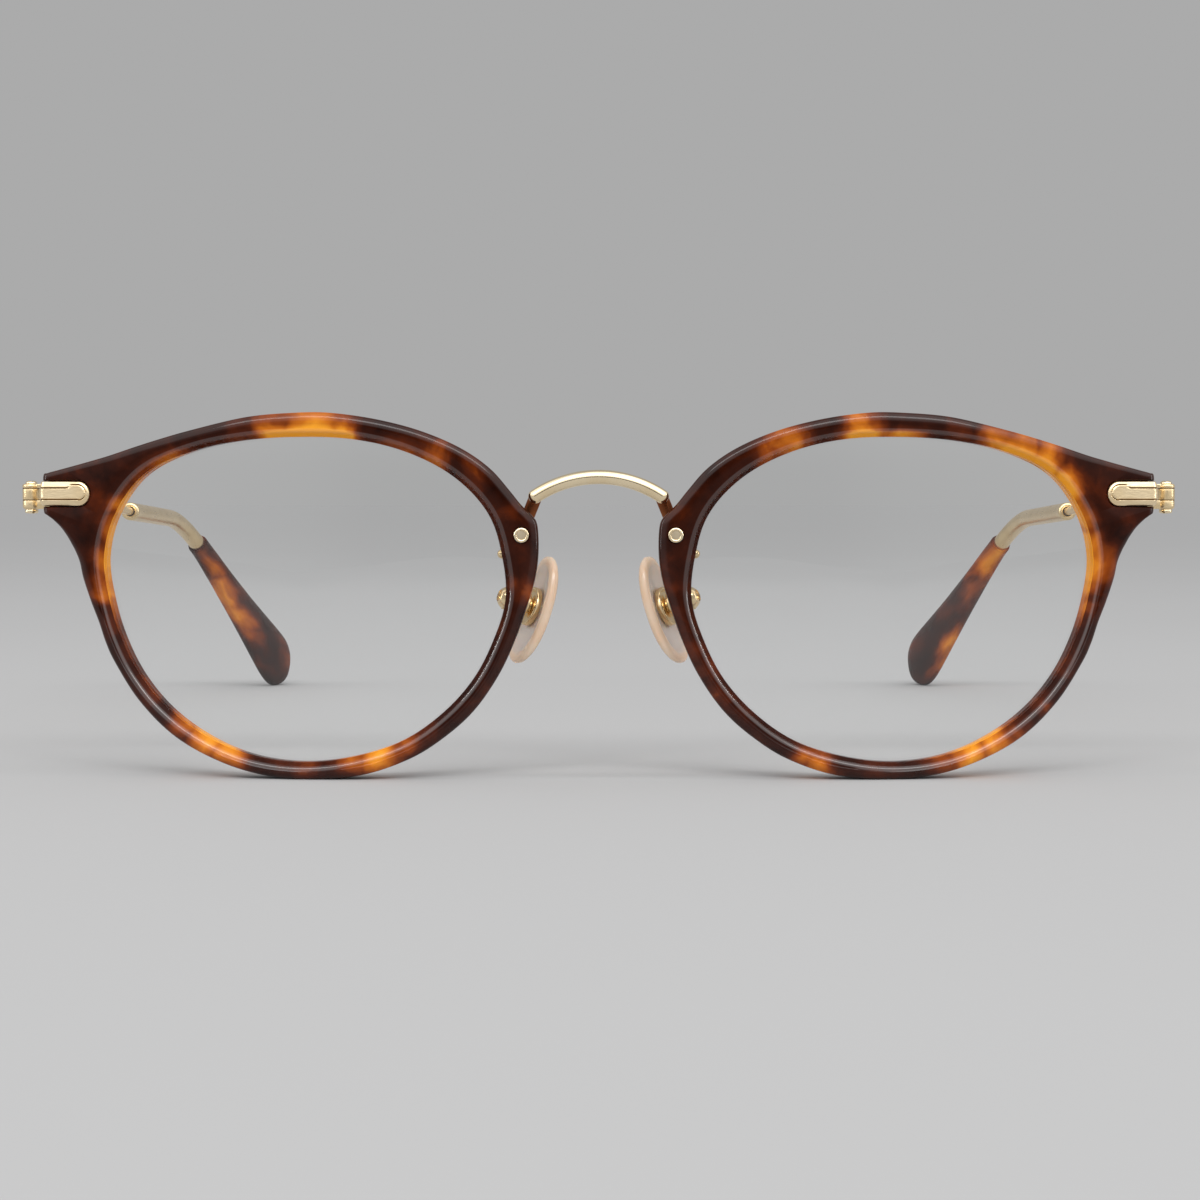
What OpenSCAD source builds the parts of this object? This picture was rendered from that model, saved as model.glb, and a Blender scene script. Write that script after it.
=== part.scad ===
/* [Lens opening] */
// Width of one lens opening
opening_w = 50.4; // [47:0.1:53]
// Height of one lens opening
opening_h = 39.8; // [37:0.1:43]
// Distance between the two lens openings
nose_w = 22.4; // [22:0.1:23.4]

/* [Rims] */
// Usual width of the rim, seen from the front
rim_w = 3; // [2.7:0.05:3.4]
// Thickness of the acetate sheet
rim_t = 3.9; // [3.6:0.05:4.2]
// Radius that each side of the front is bent to
bend_r = 200; // [160:5:300]
// Angle that each side of the front is turned back
face_form = 4.2; // [3:0.1:5.5]
// Width of the polished bevel round the lens opening
bevel_w = 0.7; // [0.5:0.05:0.75]
// Rounding of the outer edges
edge_r = 0.75; // [0.5:0.05:0.8]

/* [Lenses] */
// Thickness of a lens at its edge
lens_t = 1.7; // [1.4:0.05:1.9]
// Depth of the lens groove in the rim
groove_d = 0.65; // [0.5:0.05:0.8]
// Depth from the front of the rim to the middle of the groove
groove_y = 1.9; // [1.8:0.05:2]
// How far the middle of a lens bulges ahead of its edge
lens_dome = 0.9; // [0.4:0.1:1.2]

/* [Wings] */
// Distance along the sheet from the lens opening to the end of the wing
wing_out = 7.8; // [7.4:0.1:8.4]
// Height of the wing's end
wing_h = 4.9; // [4.6:0.05:5.2]
// Length that the wing's shape is spread over
wing_l = 12; // [11:0.1:12.5]
// Height of the wing's middle above the eye centre
wing_z = 12.95; // [12.7:0.05:13.2]

/* [Endpieces and hinges] */
// Height of the endpiece let into the wing
plaque_h = 3.04; // [2.8:0.02:3.2]
// Length of the endpiece inside the wing
plaque_l = 6.5; // [5.8:0.1:7]
// Depth of its pocket
pocket_d = 0.9; // [0.7:0.05:1.1]
// How far the endpiece stands proud of the wing
proud = 0.32; // [0.2:0.02:0.45]
// Thickness of the arm that runs back to the hinge
arm_t = 1.15; // [1:0.05:1.3]
// Radius of the hinge knuckles
knuckle_r = 1.09; // [1:0.01:1.15]
// Height of the three knuckles together
barrel_h = 3.2; // [3:0.05:3.4]
// Radius of the hinge screw
hinge_screw_r = 0.4; // [0.35:0.01:0.45]
// Distance from the outside of the arm to the hinge axis
hinge_out = 2.2; // [2:0.05:2.6]
// How far the middle of the knuckles lies below the middle of the arm
hinge_drop = 0.33; // [0:0.01:0.35]
// Distance from the front to the hinge axis
hinge_y = 10; // [9.9:0.1:10.6]

/* [Bridge] */
// Diameter of the bridge wire
bridge_d = 1.75; // [1.6:0.05:1.9]
// Distance from each end of the arch to the lens opening beside it
arch_in = 3.45; // [3.3:0.05:3.7]
// Height of the arch above the eye centres
arch_z = 14.96; // [14.7:0.02:15.1]
// Angle that the arch covers on each side
arch_half = 34; // [33:0.1:35]
// Diameter of the wire that runs back from each end of the arch
strap_d = 1.5; // [1.3:0.05:1.6]
// Radius of the rivet heads
rivet_r = 0.95; // [0.85:0.05:1]

/* [Nose pads] */
// Length of a nose pad
pad_l = 14; // [13:0.1:14.4]
// Width of a nose pad
pad_w = 7.4; // [6.8:0.1:7.6]
// Thickness of a nose pad
pad_t = 1.5; // [1.4:0.05:1.9]
// How far the ends of a nose pad curve back from its middle
pad_bow = 0.6; // [0.3:0.05:0.8]
// Angle that the pads open towards the face
pad_splay = 23; // [20:1:26]
// Angle that the pads open downwards
pad_flare = 19.5; // [18:0.5:23]
// Radius of the metal cup on a pad
cup_r = 2.5; // [2.3:0.05:2.7]
// Radius of the pad screw
pad_screw_r = 0.5; // [0.4:0.02:0.55]

/* [Temples] */
// Diameter of the temple wire
wire_d = 1.17; // [1.1:0.01:1.25]
// Length of the straight part of the temple
straight_l = 80; // [76:0.5:84]
// Distance from the hinge to the mouth of the sleeve
sleeve_start = 53.4; // [50:0.2:58]
// Outer diameter of the sleeve
sleeve_d = 2.7; // [2.5:0.05:2.9]
// Radius of the bend behind the ear
ear_r = 32.5; // [30:0.5:35]
// Angle of the bend behind the ear
ear_bend = 40.7; // [38:0.1:42.5]
// Angle that the ear bend leans inwards
ear_lean = 21.6; // [18:0.1:23]
// Slope of the temple down from the hinge
slope = 2.5; // [2.2:0.1:2.8]
// Angle that the temples draw together
converge = 0.4; // [0:0.1:1]
// Length of the tip past the bend
tip_l = 34.2; // [33:0.1:35.5]
// Greatest width of the tip
tip_w = 9.2; // [8.4:0.1:9.8]
// Greatest thickness of the tip
tip_t = 4; // [3.6:0.1:4.4]
// Diameter of the tip where it meets the sleeve
tip_start_d = 3.4; // [3.2:0.05:3.6]
// Angle that the flat of the tip is rolled inwards
tip_roll = 34; // [26:1:40]

/* [Hidden] */
$fn = 48;

tortoise = "saddlebrown";
gold = "burlywood";
silicone = "mistyrose";
clear_lens = "lightcyan";

// One overrun serves every cut, one clearance every fixed fit and one every running fit
overrun = 1;
fixed_gap = 0.03;
running_gap = 0.05;
seat_gap = 0.05;

// The table is at height zero: the eye centres stand at the rim's reach below them
bottom_share = 0.68;
eye_z = opening_h / 2 + rim_w * bottom_share;
eye_x = (nose_w + opening_w) / 2;
wing_end = opening_w / 2 + wing_out;

// Lens opening, as shares of an ellipse, every 15 degrees from the nose over the top
opening_shares = [0.997, 1.016, 1.055, 1.061, 1.042, 1.016, 0.997, 1.013, 1.056, 1.098, 1.076, 1.031,
    0.971, 0.942, 0.94, 0.952, 0.97, 0.992, 1, 0.997, 0.996, 0.979, 0.97, 0.97];

// Outer edge of the rim: angle and share of the rim's width, over the nose and the top
top_shares = [[0, 0.97], [6.5, 1.21], [12.5, 1.44], [18.5, 1.62], [22.5, 1.69], [25, 1.57],
    [28.4, 1.36], [33.4, 1.26], [40.3, 1.25], [47.1, 1.19], [54, 1.11], [61.7, 1.03], [69.4, 0.98],
    [77, 0.97], [84.7, 1], [92.4, 0.97], [100.2, 0.95], [107, 0.91]];
// Outline of the wing: shares of its length, back from its end, and of its end's height
wing_shares = [[1.58, 1.56], [1.32, 1.39], [1.04, 1.19], [0.745, 0.965], [0.557, 0.84],
    [0.374, 0.725], [0.165, 0.6], [0.05, 0.53], [0, 0.46], [0, 0], [0, -0.43], [0.03, -0.52],
    [0.1, -0.64], [0.19, -0.84], [0.26, -1.06], [0.305, -1.24], [0.353, -1.45], [0.4, -1.73],
    [0.437, -2.13], [0.52, -2.71]];
// Outer edge of the rim below the wing and along the bottom
bottom_shares = [[188, 0.66], [195.5, 0.67], [203, 0.65], [217.5, 0.66], [232, 0.71], [245, 0.68],
    [258, 0.67], [271, bottom_share], [285, 0.8], [298, 0.8], [309, 0.81], [321, 0.84],
    [334.5, 0.81], [347.5, 0.84]];

// Smooth curve through four values or points
function smooth(a, b, c, d, u) = (b * 2 + (c - a) * u + (a * 2 - b * 5 + c * 4 - d) * u * u
    + (b * 3 - a - c * 3 + d) * u * u * u) / 2;

// Radius share of the lens opening at an angle
function opening_share(angle) =
    let (n = len(opening_shares), at = angle * n / 360, i = floor(at))
    smooth(opening_shares[(i + n - 1) % n], opening_shares[i % n],
        opening_shares[(i + 1) % n], opening_shares[(i + 2) % n], at - i);

// Point of the lens opening, from the eye centre: nasal is negative
function opening_point(angle) =
    let (a = (angle + 360) % 360, r = opening_share(a))
    [-opening_w / 2 * r * cos(a), opening_h / 2 * r * sin(a)];

// Angle of a point as the opening counts it
function opening_angle(p) = (atan2(p[1] / opening_h, -p[0] / opening_w) + 360) % 360;

function rim_point(share) =
    let (p = opening_point(share[0])) p * (1 + rim_w * share[1] / norm(p));
function wing_point(share) =
    [wing_end - wing_l * share[0], wing_z + wing_h * share[1]];

outer_nodes = concat([for (s = top_shares) rim_point(s)], [for (s = wing_shares) wing_point(s)],
    [for (s = bottom_shares) rim_point(s)]);
outer_steps = 2;
outer_points = let (n = len(outer_nodes)) [for (i = [0:n - 1], k = [0:outer_steps - 1])
    smooth(outer_nodes[(i + n - 1) % n], outer_nodes[i], outer_nodes[(i + 1) % n],
        outer_nodes[(i + 2) % n], k / outer_steps)];

// The flat sheet is bent back: s runs outwards along it, d goes back through it
function sheet_angle(s) = face_form + s / bend_r * 180 / PI;
function sheet_point(s, z, d) =
    let (a = sheet_angle(s))
    [eye_x + bend_r * (sin(a) - sin(face_form)) - d * sin(a),
        bend_r * (cos(face_form) - cos(a)) + d * cos(a), eye_z + z];

// Depth along the bent front at the wing's end, and half of the whole depth
wing_corner = sheet_point(wing_end, wing_z, 0);
arm_x = wing_corner[0] + proud;
hinge_x = arm_x + hinge_out;
temple_end = hinge_y + (straight_l + ear_r * sin(ear_bend) + tip_l * cos(ear_bend)) * cos(slope);
front_y = bend_r * (cos(face_form) - 1);
mid_y = (front_y + temple_end) / 2;

arm_z = eye_z + wing_z;
barrel_z = arm_z - hinge_drop;
knuckle_shares = [0.36, 0.46, 0.18];
barrel_low = barrel_z - barrel_h / 2;
middle_low = barrel_low + barrel_h * knuckle_shares[0];
middle_high = middle_low + barrel_h * knuckle_shares[1];
barrel_high = barrel_low + barrel_h;

// Place along the sheet of a point at a distance from the middle of the nose and a depth
function sheet_place(x, d) =
    (asin((x - eye_x + bend_r * sin(face_form)) / (bend_r - d)) - face_form) * bend_r * PI / 180;

// The ends of the arch, and the places behind the nasal part of the rim, in the sheet's directions
arch_end_x = nose_w / 2 - arch_in;
arch_r = arch_end_x / sin(arch_half);
arch_end_z = arch_z - arch_r * (1 - cos(arch_half));
rivet_in = 1.85;
rivet_z = 7.9;
peg_in = 0.75;
peg_z = 5.5;
foot_t = 0.9;
foot_d = rim_t + seat_gap;
rivet_at = [-opening_w / 2 - rivet_in, rivet_z];
foot_top = [sheet_place(arch_end_x, foot_d + foot_t / 2), arch_end_z];
peg_at = [-opening_w / 2 - peg_in, peg_z];
peg_r = 0.25;
peg_ball_r = 0.575;
lug_t = 0.7;
lug_d = 1.9;
lug_w = 1.7;

// The pad frame: its origin is the middle of the cup, x runs down and z towards the nose
cup_in = 2.95;
cup_back = 3.7;
cup_z = -1.2;
cup_at = [nose_w / 2 - cup_in, rim_t + cup_back, cup_z];
cup_t = 0.5;
boss_r = 1;
boss_l = 2.3;
eyelet_t = 1.5;
eyelet_r = 1.5;
pad_head_r = 1.43;
pad_head_h = 1.05;

module sided(side) {
    translate([0, -mid_y, 0])
        mirror([side < 0 ? 1 : 0, 0, 0])
            children();
}

module both_sides() {
    for (side = [-1, 1])
        sided(side)
            children();
}

// Puts the origin on the bent front, x outwards, y back and z up
module on_sheet(s, z, d) {
    translate(sheet_point(s, z, d))
        rotate([0, 0, sheet_angle(s)])
            children();
}

module in_pad() {
    translate([cup_at[0], cup_at[1], eye_z + cup_at[2]])
        rotate([0, 90 + pad_flare, 180 - pad_splay])
            children();
}

// A cylinder that starts at depth y and runs back
module back_cylinder(r, depth) {
    rotate([-90, 0, 0])
        cylinder(r = r, h = depth);
}

// A closed skin over rings of equal length, each ring joined to the next
function ring_faces(rings, sides) = [for (i = [0:rings - 2], k = [0:sides - 1], half = [0, 1])
    let (a = i * sides + k, b = i * sides + (k + 1) % sides)
    half == 0 ? [a, b, a + sides] : [b, b + sides, a + sides]];
function loop_faces(rings, sides) = [for (i = [0:rings - 1], k = [0:sides - 1], half = [0, 1])
    let (n = (i + 1) % rings, a = i * sides + k, b = i * sides + (k + 1) % sides)
    half == 0 ? [a, n * sides + k, b] : [b, n * sides + k, n * sides + (k + 1) % sides]];
function cap_faces(rings, sides) = concat([[for (k = [sides - 1:-1:0]) k]],
    [[for (k = [0:sides - 1]) (rings - 1) * sides + k]]);

// Section of the rim: distance from the lens opening or the outer edge, and depth
land = 0.25;
front_lip = groove_y - groove_d - land;
function rim_section(inner, outer) = [
    [inner, front_lip], [inner + bevel_w, edge_r * 0.15], [inner + bevel_w * 1.3, 0],
    [outer - edge_r, 0], [outer - edge_r * 0.45, edge_r * 0.16], [outer - edge_r * 0.12, edge_r * 0.5],
    [outer, edge_r], [outer, rim_t - edge_r], [outer - edge_r * 0.12, rim_t - edge_r * 0.5],
    [outer - edge_r * 0.45, rim_t - edge_r * 0.16], [outer - edge_r, rim_t],
    [inner + edge_r * 0.5, rim_t], [inner, rim_t - edge_r * 0.5],
    [inner, groove_y + groove_d], [inner + groove_d, groove_y], [inner, groove_y - groove_d]];

function rim_ring(p) =
    let (e = p / norm(p), inner = norm(opening_point(opening_angle(p))))
    [for (q = rim_section(inner, norm(p))) sheet_point(q[0] * e[0], q[0] * e[1], q[1])];

rim_rings = [for (p = outer_points) rim_ring(p)];
rim_sides = 16;

module rim_blank() {
    polyhedron(points = [for (ring = rim_rings, p = ring) p],
        faces = loop_faces(len(rim_rings), rim_sides), convexity = 10);
}

module plaque_outline(grow, length_past_end) {
    r = plaque_h / 2 + grow;
    translate([plaque_h / 2 - plaque_l, 0])
        circle(r = r);
    translate([plaque_h / 2 - plaque_l, -r])
        square([plaque_l - plaque_h / 2 + length_past_end, r * 2]);
}

// The pocket for the endpiece and the slot for its arm, open to the wing's end
module wing_pocket() {
    on_sheet(wing_end, wing_z, pocket_d)
        rotate([90, 0, 0])
            linear_extrude(pocket_d + overrun)
                plaque_outline(seat_gap, overrun);
    translate([arm_x - arm_t - seat_gap, 0, arm_z - plaque_h / 2 - seat_gap])
        cube([arm_t + overrun, hinge_y + rim_t, plaque_h + seat_gap * 2]);
}

endpiece_screw_r = 0.45;
endpiece_screw_back = 3.9;

module rim() {
    color(tortoise)
        difference() {
            rim_blank();
            wing_pocket();
            on_sheet(rivet_at[0], rivet_at[1], -overrun)
                back_cylinder(rivet_shank_r + fixed_gap, rim_t + overrun * 2);
            on_sheet(rivet_at[0], rivet_at[1], -overrun)
                back_cylinder(rivet_r + seat_gap, overrun + rivet_sunk);
            on_sheet(wing_end - endpiece_screw_back, wing_z, 0)
                back_cylinder(endpiece_screw_r + fixed_gap, rim_t + overrun);
        }
}

// A lens: rings from the middle of its front, over its V edge, to the middle of its back
lens_stations = 60;
lens_gap = 0.05;
lens_ring_shares = [0.02, 0.5, 0.8];
lens_front = groove_y - lens_t / 2;
lens_back = groove_y + lens_t / 2;
lens_bevel = groove_d - lens_gap;

function lens_ring(share, out, d) = [for (k = [0:lens_stations - 1])
    let (p = opening_point(360 - k * 360 / lens_stations), r = norm(p), q = p * (share + out / r))
    sheet_point(q[0], q[1], d)];
function lens_sag(share) = -lens_dome * (1 - share * share);

lens_rings = concat(
    [for (s = lens_ring_shares) lens_ring(s, 0, lens_front + lens_sag(s))],
    [lens_ring(1, -lens_gap, lens_front), lens_ring(1, -lens_gap, groove_y - lens_bevel),
        lens_ring(1, lens_bevel, groove_y), lens_ring(1, -lens_gap, groove_y + lens_bevel),
        lens_ring(1, -lens_gap, lens_back)],
    [for (i = [len(lens_ring_shares) - 1:-1:0])
        lens_ring(lens_ring_shares[i], 0, lens_back + lens_sag(lens_ring_shares[i]))]);

module lens() {
    color(clear_lens, 0.35)
        polyhedron(points = [for (ring = lens_rings, p = ring) p],
            faces = concat(ring_faces(len(lens_rings), lens_stations),
                cap_faces(len(lens_rings), lens_stations)), convexity = 4);
}

// A flat bar with round ends, drawn in a foot's own plane
module bar(from, to, w) {
    along = to - from;
    translate(from)
        circle(d = w);
    translate(to)
        circle(d = w);
    translate(from)
        rotate(atan2(along[1], along[0]))
            translate([0, -w / 2])
                square([norm(along), w]);
}

rivet_shank_r = 0.6;
rivet_sunk = 0.2;
rivet_high = 0.22;
rivet_dimple_r = 0.58;
rivet_dimple_d = 0.12;
rivet_tail_r = 0.95;
rivet_tail_h = 0.3;
foot_w = 1.65;
rivet_boss_w = 2.7;
lug_at = [peg_at[0] + lug_t / 2, peg_at[1]];
arch_y = 1.2;

module arch() {
    translate([0, arch_y - mid_y, eye_z + arch_z - arch_r])
        rotate([90, 0, 0])
            rotate([0, 0, 90 - arch_half])
                rotate_extrude(angle = arch_half * 2)
                    translate([arch_r, 0])
                        circle(d = bridge_d);
}

// One end of the bridge: the round end of the arch, the wire that runs back and the foot
arch_end_share = 1.04;

module bridge_end() {
    translate([arch_end_x, arch_y, eye_z + arch_end_z]) {
        sphere(d = bridge_d * arch_end_share);
        back_cylinder(strap_d / 2, foot_d + foot_t - arch_y);
    }
    difference() {
        on_sheet(rivet_at[0], rivet_at[1], foot_d + foot_t)
            rotate([90, 0, 0])
                linear_extrude(foot_t) {
                    bar(foot_top - rivet_at, [0, 0], foot_w);
                    bar([0, 0], lug_at - rivet_at, foot_w);
                    circle(d = rivet_boss_w);
                }
        on_sheet(rivet_at[0], rivet_at[1], foot_d - overrun)
            back_cylinder(rivet_shank_r + fixed_gap, foot_t + overrun * 2);
    }
    lug(lug_at[0], foot_t / 2);
}

// A small upright lug behind the rim, drilled across for the peg
module lug(s, start) {
    difference() {
        on_sheet(s, peg_at[1], foot_d)
            union() {
                translate([-lug_t / 2, start, -lug_w / 2])
                    cube([lug_t, lug_d - start, lug_w]);
                translate([-lug_t / 2, lug_d, 0])
                    rotate([0, 90, 0])
                        cylinder(d = lug_w, h = lug_t);
            }
        peg_line(peg_r + fixed_gap);
    }
}

module peg_line(r) {
    on_sheet(peg_at[0], peg_at[1], foot_d + lug_d)
        translate([-lug_t - seat_gap * 3, 0, 0])
            rotate([0, 90, 0])
                cylinder(r = r, h = lug_t * 2 + seat_gap * 6);
}

module bridge() {
    color(gold) {
        arch();
        both_sides()
            bridge_end();
    }
}

module bridge_rivets() {
    color(gold)
        both_sides()
            on_sheet(rivet_at[0], rivet_at[1], 0)
                difference() {
                    union() {
                        translate([0, -rivet_high, 0])
                            back_cylinder(rivet_r, rivet_high + rivet_sunk);
                        back_cylinder(rivet_shank_r, foot_d + foot_t + rivet_tail_h / 2);
                        translate([0, foot_d + foot_t + fixed_gap, 0])
                            back_cylinder(rivet_tail_r, rivet_tail_h);
                    }
                    translate([0, -rivet_high - overrun, 0])
                        back_cylinder(rivet_dimple_r, overrun + rivet_dimple_d);
                }
}

module arm_pegs() {
    color(gold)
        both_sides() {
            peg_line(peg_r);
            on_sheet(peg_at[0] + lug_t + peg_ball_r, peg_at[1], foot_d + lug_d)
                sphere(r = peg_ball_r);
        }
}

// The pad arm: an eye on the peg, a bar down behind the rim and the eyelet of the pad screw
pad_arm_w = 1.2;
arm_gap = 0.12;
eyelet_z = -boss_l - seat_gap - eyelet_t;

module pad_arm() {
    color(gold)
        difference() {
            union() {
                lug(peg_at[0] - lug_t / 2 - seat_gap, foot_t + arm_gap);
                pad_arm_bar();
                in_pad()
                    translate([0, 0, eyelet_z])
                        cylinder(r = eyelet_r, h = eyelet_t);
            }
            peg_line(peg_r + fixed_gap);
            in_pad()
                translate([0, 0, eyelet_z - overrun])
                    cylinder(r = pad_screw_r + fixed_gap, h = eyelet_t + overrun * 2);
        }
}

// The bar leans from the lug to the eyelet
module pad_arm_bar() {
    top = sheet_point(peg_at[0] - pad_arm_w / 2 - seat_gap * 4, peg_at[1] - lug_w / 3, foot_d + lug_d);
    c = [cup_at[0], cup_at[1], eye_z + cup_at[2]];
    n = [-cos(pad_splay) * cos(pad_flare), sin(pad_splay) * cos(pad_flare), -sin(pad_flare)];
    up = [-cos(pad_splay) * sin(pad_flare), sin(pad_splay) * sin(pad_flare), cos(pad_flare)];
    low = c + n * (eyelet_z + eyelet_t / 2) + up * (eyelet_r * 0.85);
    v = low - top;
    translate(top)
        rotate([0, acos(v[2] / norm(v)), atan2(v[1], v[0])])
            cylinder(d = pad_arm_w, h = norm(v));
    translate(top)
        sphere(d = pad_arm_w);
    translate(low)
        sphere(d = pad_arm_w);
}

// The cup: a dished disc on the pad, a boss that turns on the screw and an insert in the pad
cup_lip = 0.35;
insert_l = 5.4;
insert_w = 2.6;
insert_t = 0.55;
insert_at = 0.55;
ring_r = 1.7;
ring_t = 0.4;
ring_at = 1.45;

module pad_cup() {
    color(gold)
        in_pad()
            difference() {
                union() {
                    translate([0, 0, -cup_t])
                        cylinder(r = cup_r, h = cup_t);
                    translate([0, 0, -cup_t / 2])
                        rotate_extrude()
                            translate([cup_r - cup_lip / 2, -cup_t / 2])
                                circle(d = cup_lip);
                    translate([0, 0, -boss_l])
                        cylinder(r = boss_r, h = boss_l + insert_at);
                    translate([0, 0, -ring_at])
                        cylinder(r = ring_r, h = ring_t);
                    translate([0, 0, insert_at])
                        linear_extrude(insert_t)
                            bar([-insert_l / 2 + insert_w / 2, 0], [insert_l / 2 - insert_w / 2, 0], insert_w);
                }
                translate([0, 0, -boss_l - overrun])
                    cylinder(r = pad_screw_r + running_gap, h = boss_l + insert_at + overrun);
            }
}

module pad_screws() {
    color(gold)
        both_sides()
            in_pad()
                difference() {
                    union() {
                        translate([0, 0, eyelet_z - seat_gap])
                            cylinder(r = pad_screw_r, h = -eyelet_z + insert_at / 2);
                        translate([0, 0, eyelet_z - seat_gap])
                            intersection() {
                                translate([0, 0, dome_r - pad_head_h])
                                    sphere(r = dome_r);
                                translate([0, 0, -pad_head_h])
                                    cylinder(r = pad_head_r, h = pad_head_h);
                            }
                    }
                    translate([0, 0, eyelet_z - seat_gap - pad_head_h - overrun])
                        cylinder(r = recess_r, h = overrun + recess_d);
                }
}

dome_r = (pad_head_r * pad_head_r + pad_head_h * pad_head_h) / (2 * pad_head_h);
recess_r = 0.72;
recess_d = 0.45;

// A nose pad: rings of a rounded, egg-shaped outline from its back to its face
pad_sides = 28;
pad_ring_shares = [[0.05, 0.1], [0.5, 0.1], [0.8, 0.05], [0.87, 0], [0.95, 0.1], [1, 0.3], [1, 0.55],
    [0.94, 0.8], [0.78, 0.95], [0.45, 1.04], [0.05, 1.07]];
egg_share = 0.1;
pad_low = 0.3;
function pad_ring(share, z) = [for (k = [0:pad_sides - 1])
    let (a = -k * 360 / pad_sides)
    [pad_l / 2 * cos(a) * share + pad_low, pad_w / 2 * sin(a) * (1 + egg_share * cos(a)) * share,
        z - pad_bow * pow(cos(a) * share, 2)]];
pad_rings = [for (s = pad_ring_shares) pad_ring(s[0], seat_gap + pad_t * s[1])];

module nose_pad() {
    color(silicone)
        in_pad()
            difference() {
                polyhedron(points = [for (ring = pad_rings, p = ring) p],
                    faces = concat(ring_faces(len(pad_rings), pad_sides),
                        cap_faces(len(pad_rings), pad_sides)), convexity = 4);
                translate([0, 0, -overrun])
                    cylinder(r = cup_r + seat_gap, h = overrun + seat_gap);
                translate([0, 0, -overrun])
                    cylinder(r = boss_r + fixed_gap, h = overrun + insert_at);
                translate([0, 0, insert_at - fixed_gap])
                    linear_extrude(insert_t + fixed_gap * 2)
                        bar([-insert_l / 2 + insert_w / 2, 0], [insert_l / 2 - insert_w / 2, 0],
                            insert_w + fixed_gap * 2);
            }
}

// The endpiece: a bevelled plaque in the wing, an arm straight back and two outer knuckles
band_share = 0.48;
bevel_drop = 0.25;
ear_from = [arm_x - arm_t / 2, hinge_y - knuckle_r * 1.45];

module endpiece() {
    color(gold)
        difference() {
            union() {
                on_sheet(wing_end, wing_z, 0)
                    intersection() {
                        translate([0, pocket_d - fixed_gap, 0])
                            rotate([90, 0, 0])
                                linear_extrude(pocket_d + proud)
                                    plaque_outline(0, proud);
                        rotate([90, 0, 90])
                            linear_extrude(plaque_l * 2, center = true)
                                plaque_section();
                    }
                translate([arm_x - arm_t, wing_corner[1] + pocket_d / 2, arm_z - plaque_h / 2])
                    cube([arm_t, ear_from[1] - wing_corner[1] - pocket_d / 2, plaque_h]);
                translate([arm_x - arm_t, wing_corner[1] + arm_t - proud, arm_z - plaque_h / 2])
                    intersection() {
                        cylinder(r = arm_t, h = plaque_h);
                        translate([0, -arm_t, 0])
                            cube([arm_t, arm_t * 2, plaque_h]);
                    }
                outer_knuckle(barrel_low, middle_low - running_gap);
                outer_knuckle(middle_high + running_gap, barrel_high);
            }
            translate([hinge_x, hinge_y, barrel_low - overrun])
                cylinder(r = hinge_screw_r + fixed_gap, h = barrel_h + overrun * 2);
            on_sheet(wing_end - endpiece_screw_back, wing_z, 0)
                back_cylinder(endpiece_screw_r + fixed_gap, pocket_d);
        }
}

module plaque_section() {
    half = plaque_h / 2;
    polygon([[pocket_d, -half], [pocket_d, half], [bevel_drop - proud, half],
        [-proud, half * band_share], [-proud, -half * band_share], [bevel_drop - proud, -half]]);
}

module outer_knuckle(low, high) {
    along = [hinge_x, hinge_y] - ear_from;
    translate([0, 0, low])
        linear_extrude(high - low) {
            translate([hinge_x, hinge_y])
                circle(r = knuckle_r);
            translate(ear_from)
                rotate(atan2(along[1], along[0]))
                    translate([-arm_t * 0.35, -arm_t * 0.55])
                        square([norm(along), arm_t * 1.1]);
        }
}

endpiece_head_r = 1.1;
endpiece_head_h = 0.6;

module endpiece_screws() {
    color(gold)
        both_sides()
            on_sheet(wing_end - endpiece_screw_back, wing_z, 0) {
                translate([0, fixed_gap, 0])
                    back_cylinder(endpiece_screw_r, rim_t + endpiece_head_h / 2);
                translate([0, rim_t + seat_gap, 0])
                    back_cylinder(endpiece_head_r, endpiece_head_h);
            }
}

hinge_head_r = 0.73;
hinge_head_h = 0.38;
nut_r = 0.82;
nut_h = 0.48;
slot_w = 0.22;

module hinge_screws() {
    color(gold)
        both_sides()
            translate([hinge_x, hinge_y, 0])
                difference() {
                    union() {
                        translate([0, 0, barrel_low - nut_h])
                            cylinder(r = hinge_screw_r, h = barrel_h + nut_h + hinge_head_h / 2);
                        translate([0, 0, barrel_high + fixed_gap])
                            cylinder(r = hinge_head_r, h = hinge_head_h);
                    }
                    translate([-knuckle_r, -slot_w / 2, barrel_high + hinge_head_h / 2])
                        cube([knuckle_r * 2, slot_w, overrun]);
                }
}

module hinge_nuts() {
    color(gold)
        both_sides()
            translate([hinge_x, hinge_y, barrel_low - nut_h - fixed_gap])
                difference() {
                    cylinder(r = nut_r, h = nut_h);
                    translate([0, 0, -overrun])
                        cylinder(r = hinge_screw_r + fixed_gap, h = nut_h + overrun * 2);
                    translate([-knuckle_r, -slot_w / 2, -overrun])
                        cube([knuckle_r * 2, slot_w, overrun + nut_h / 3]);
                }
}

// The temple's own frame: y runs along it, from the middle knuckle back
temple_z = (middle_low + middle_high) / 2;

module along_temple() {
    translate([hinge_x, hinge_y, temple_z])
        rotate([-slope, 0, converge])
            children();
}

// The frame of the ear bend: its plane leans inwards, and the bend goes down
module at_bend() {
    along_temple()
        translate([0, straight_l, 0])
            rotate([0, ear_lean, 0])
                children();
}

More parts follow.
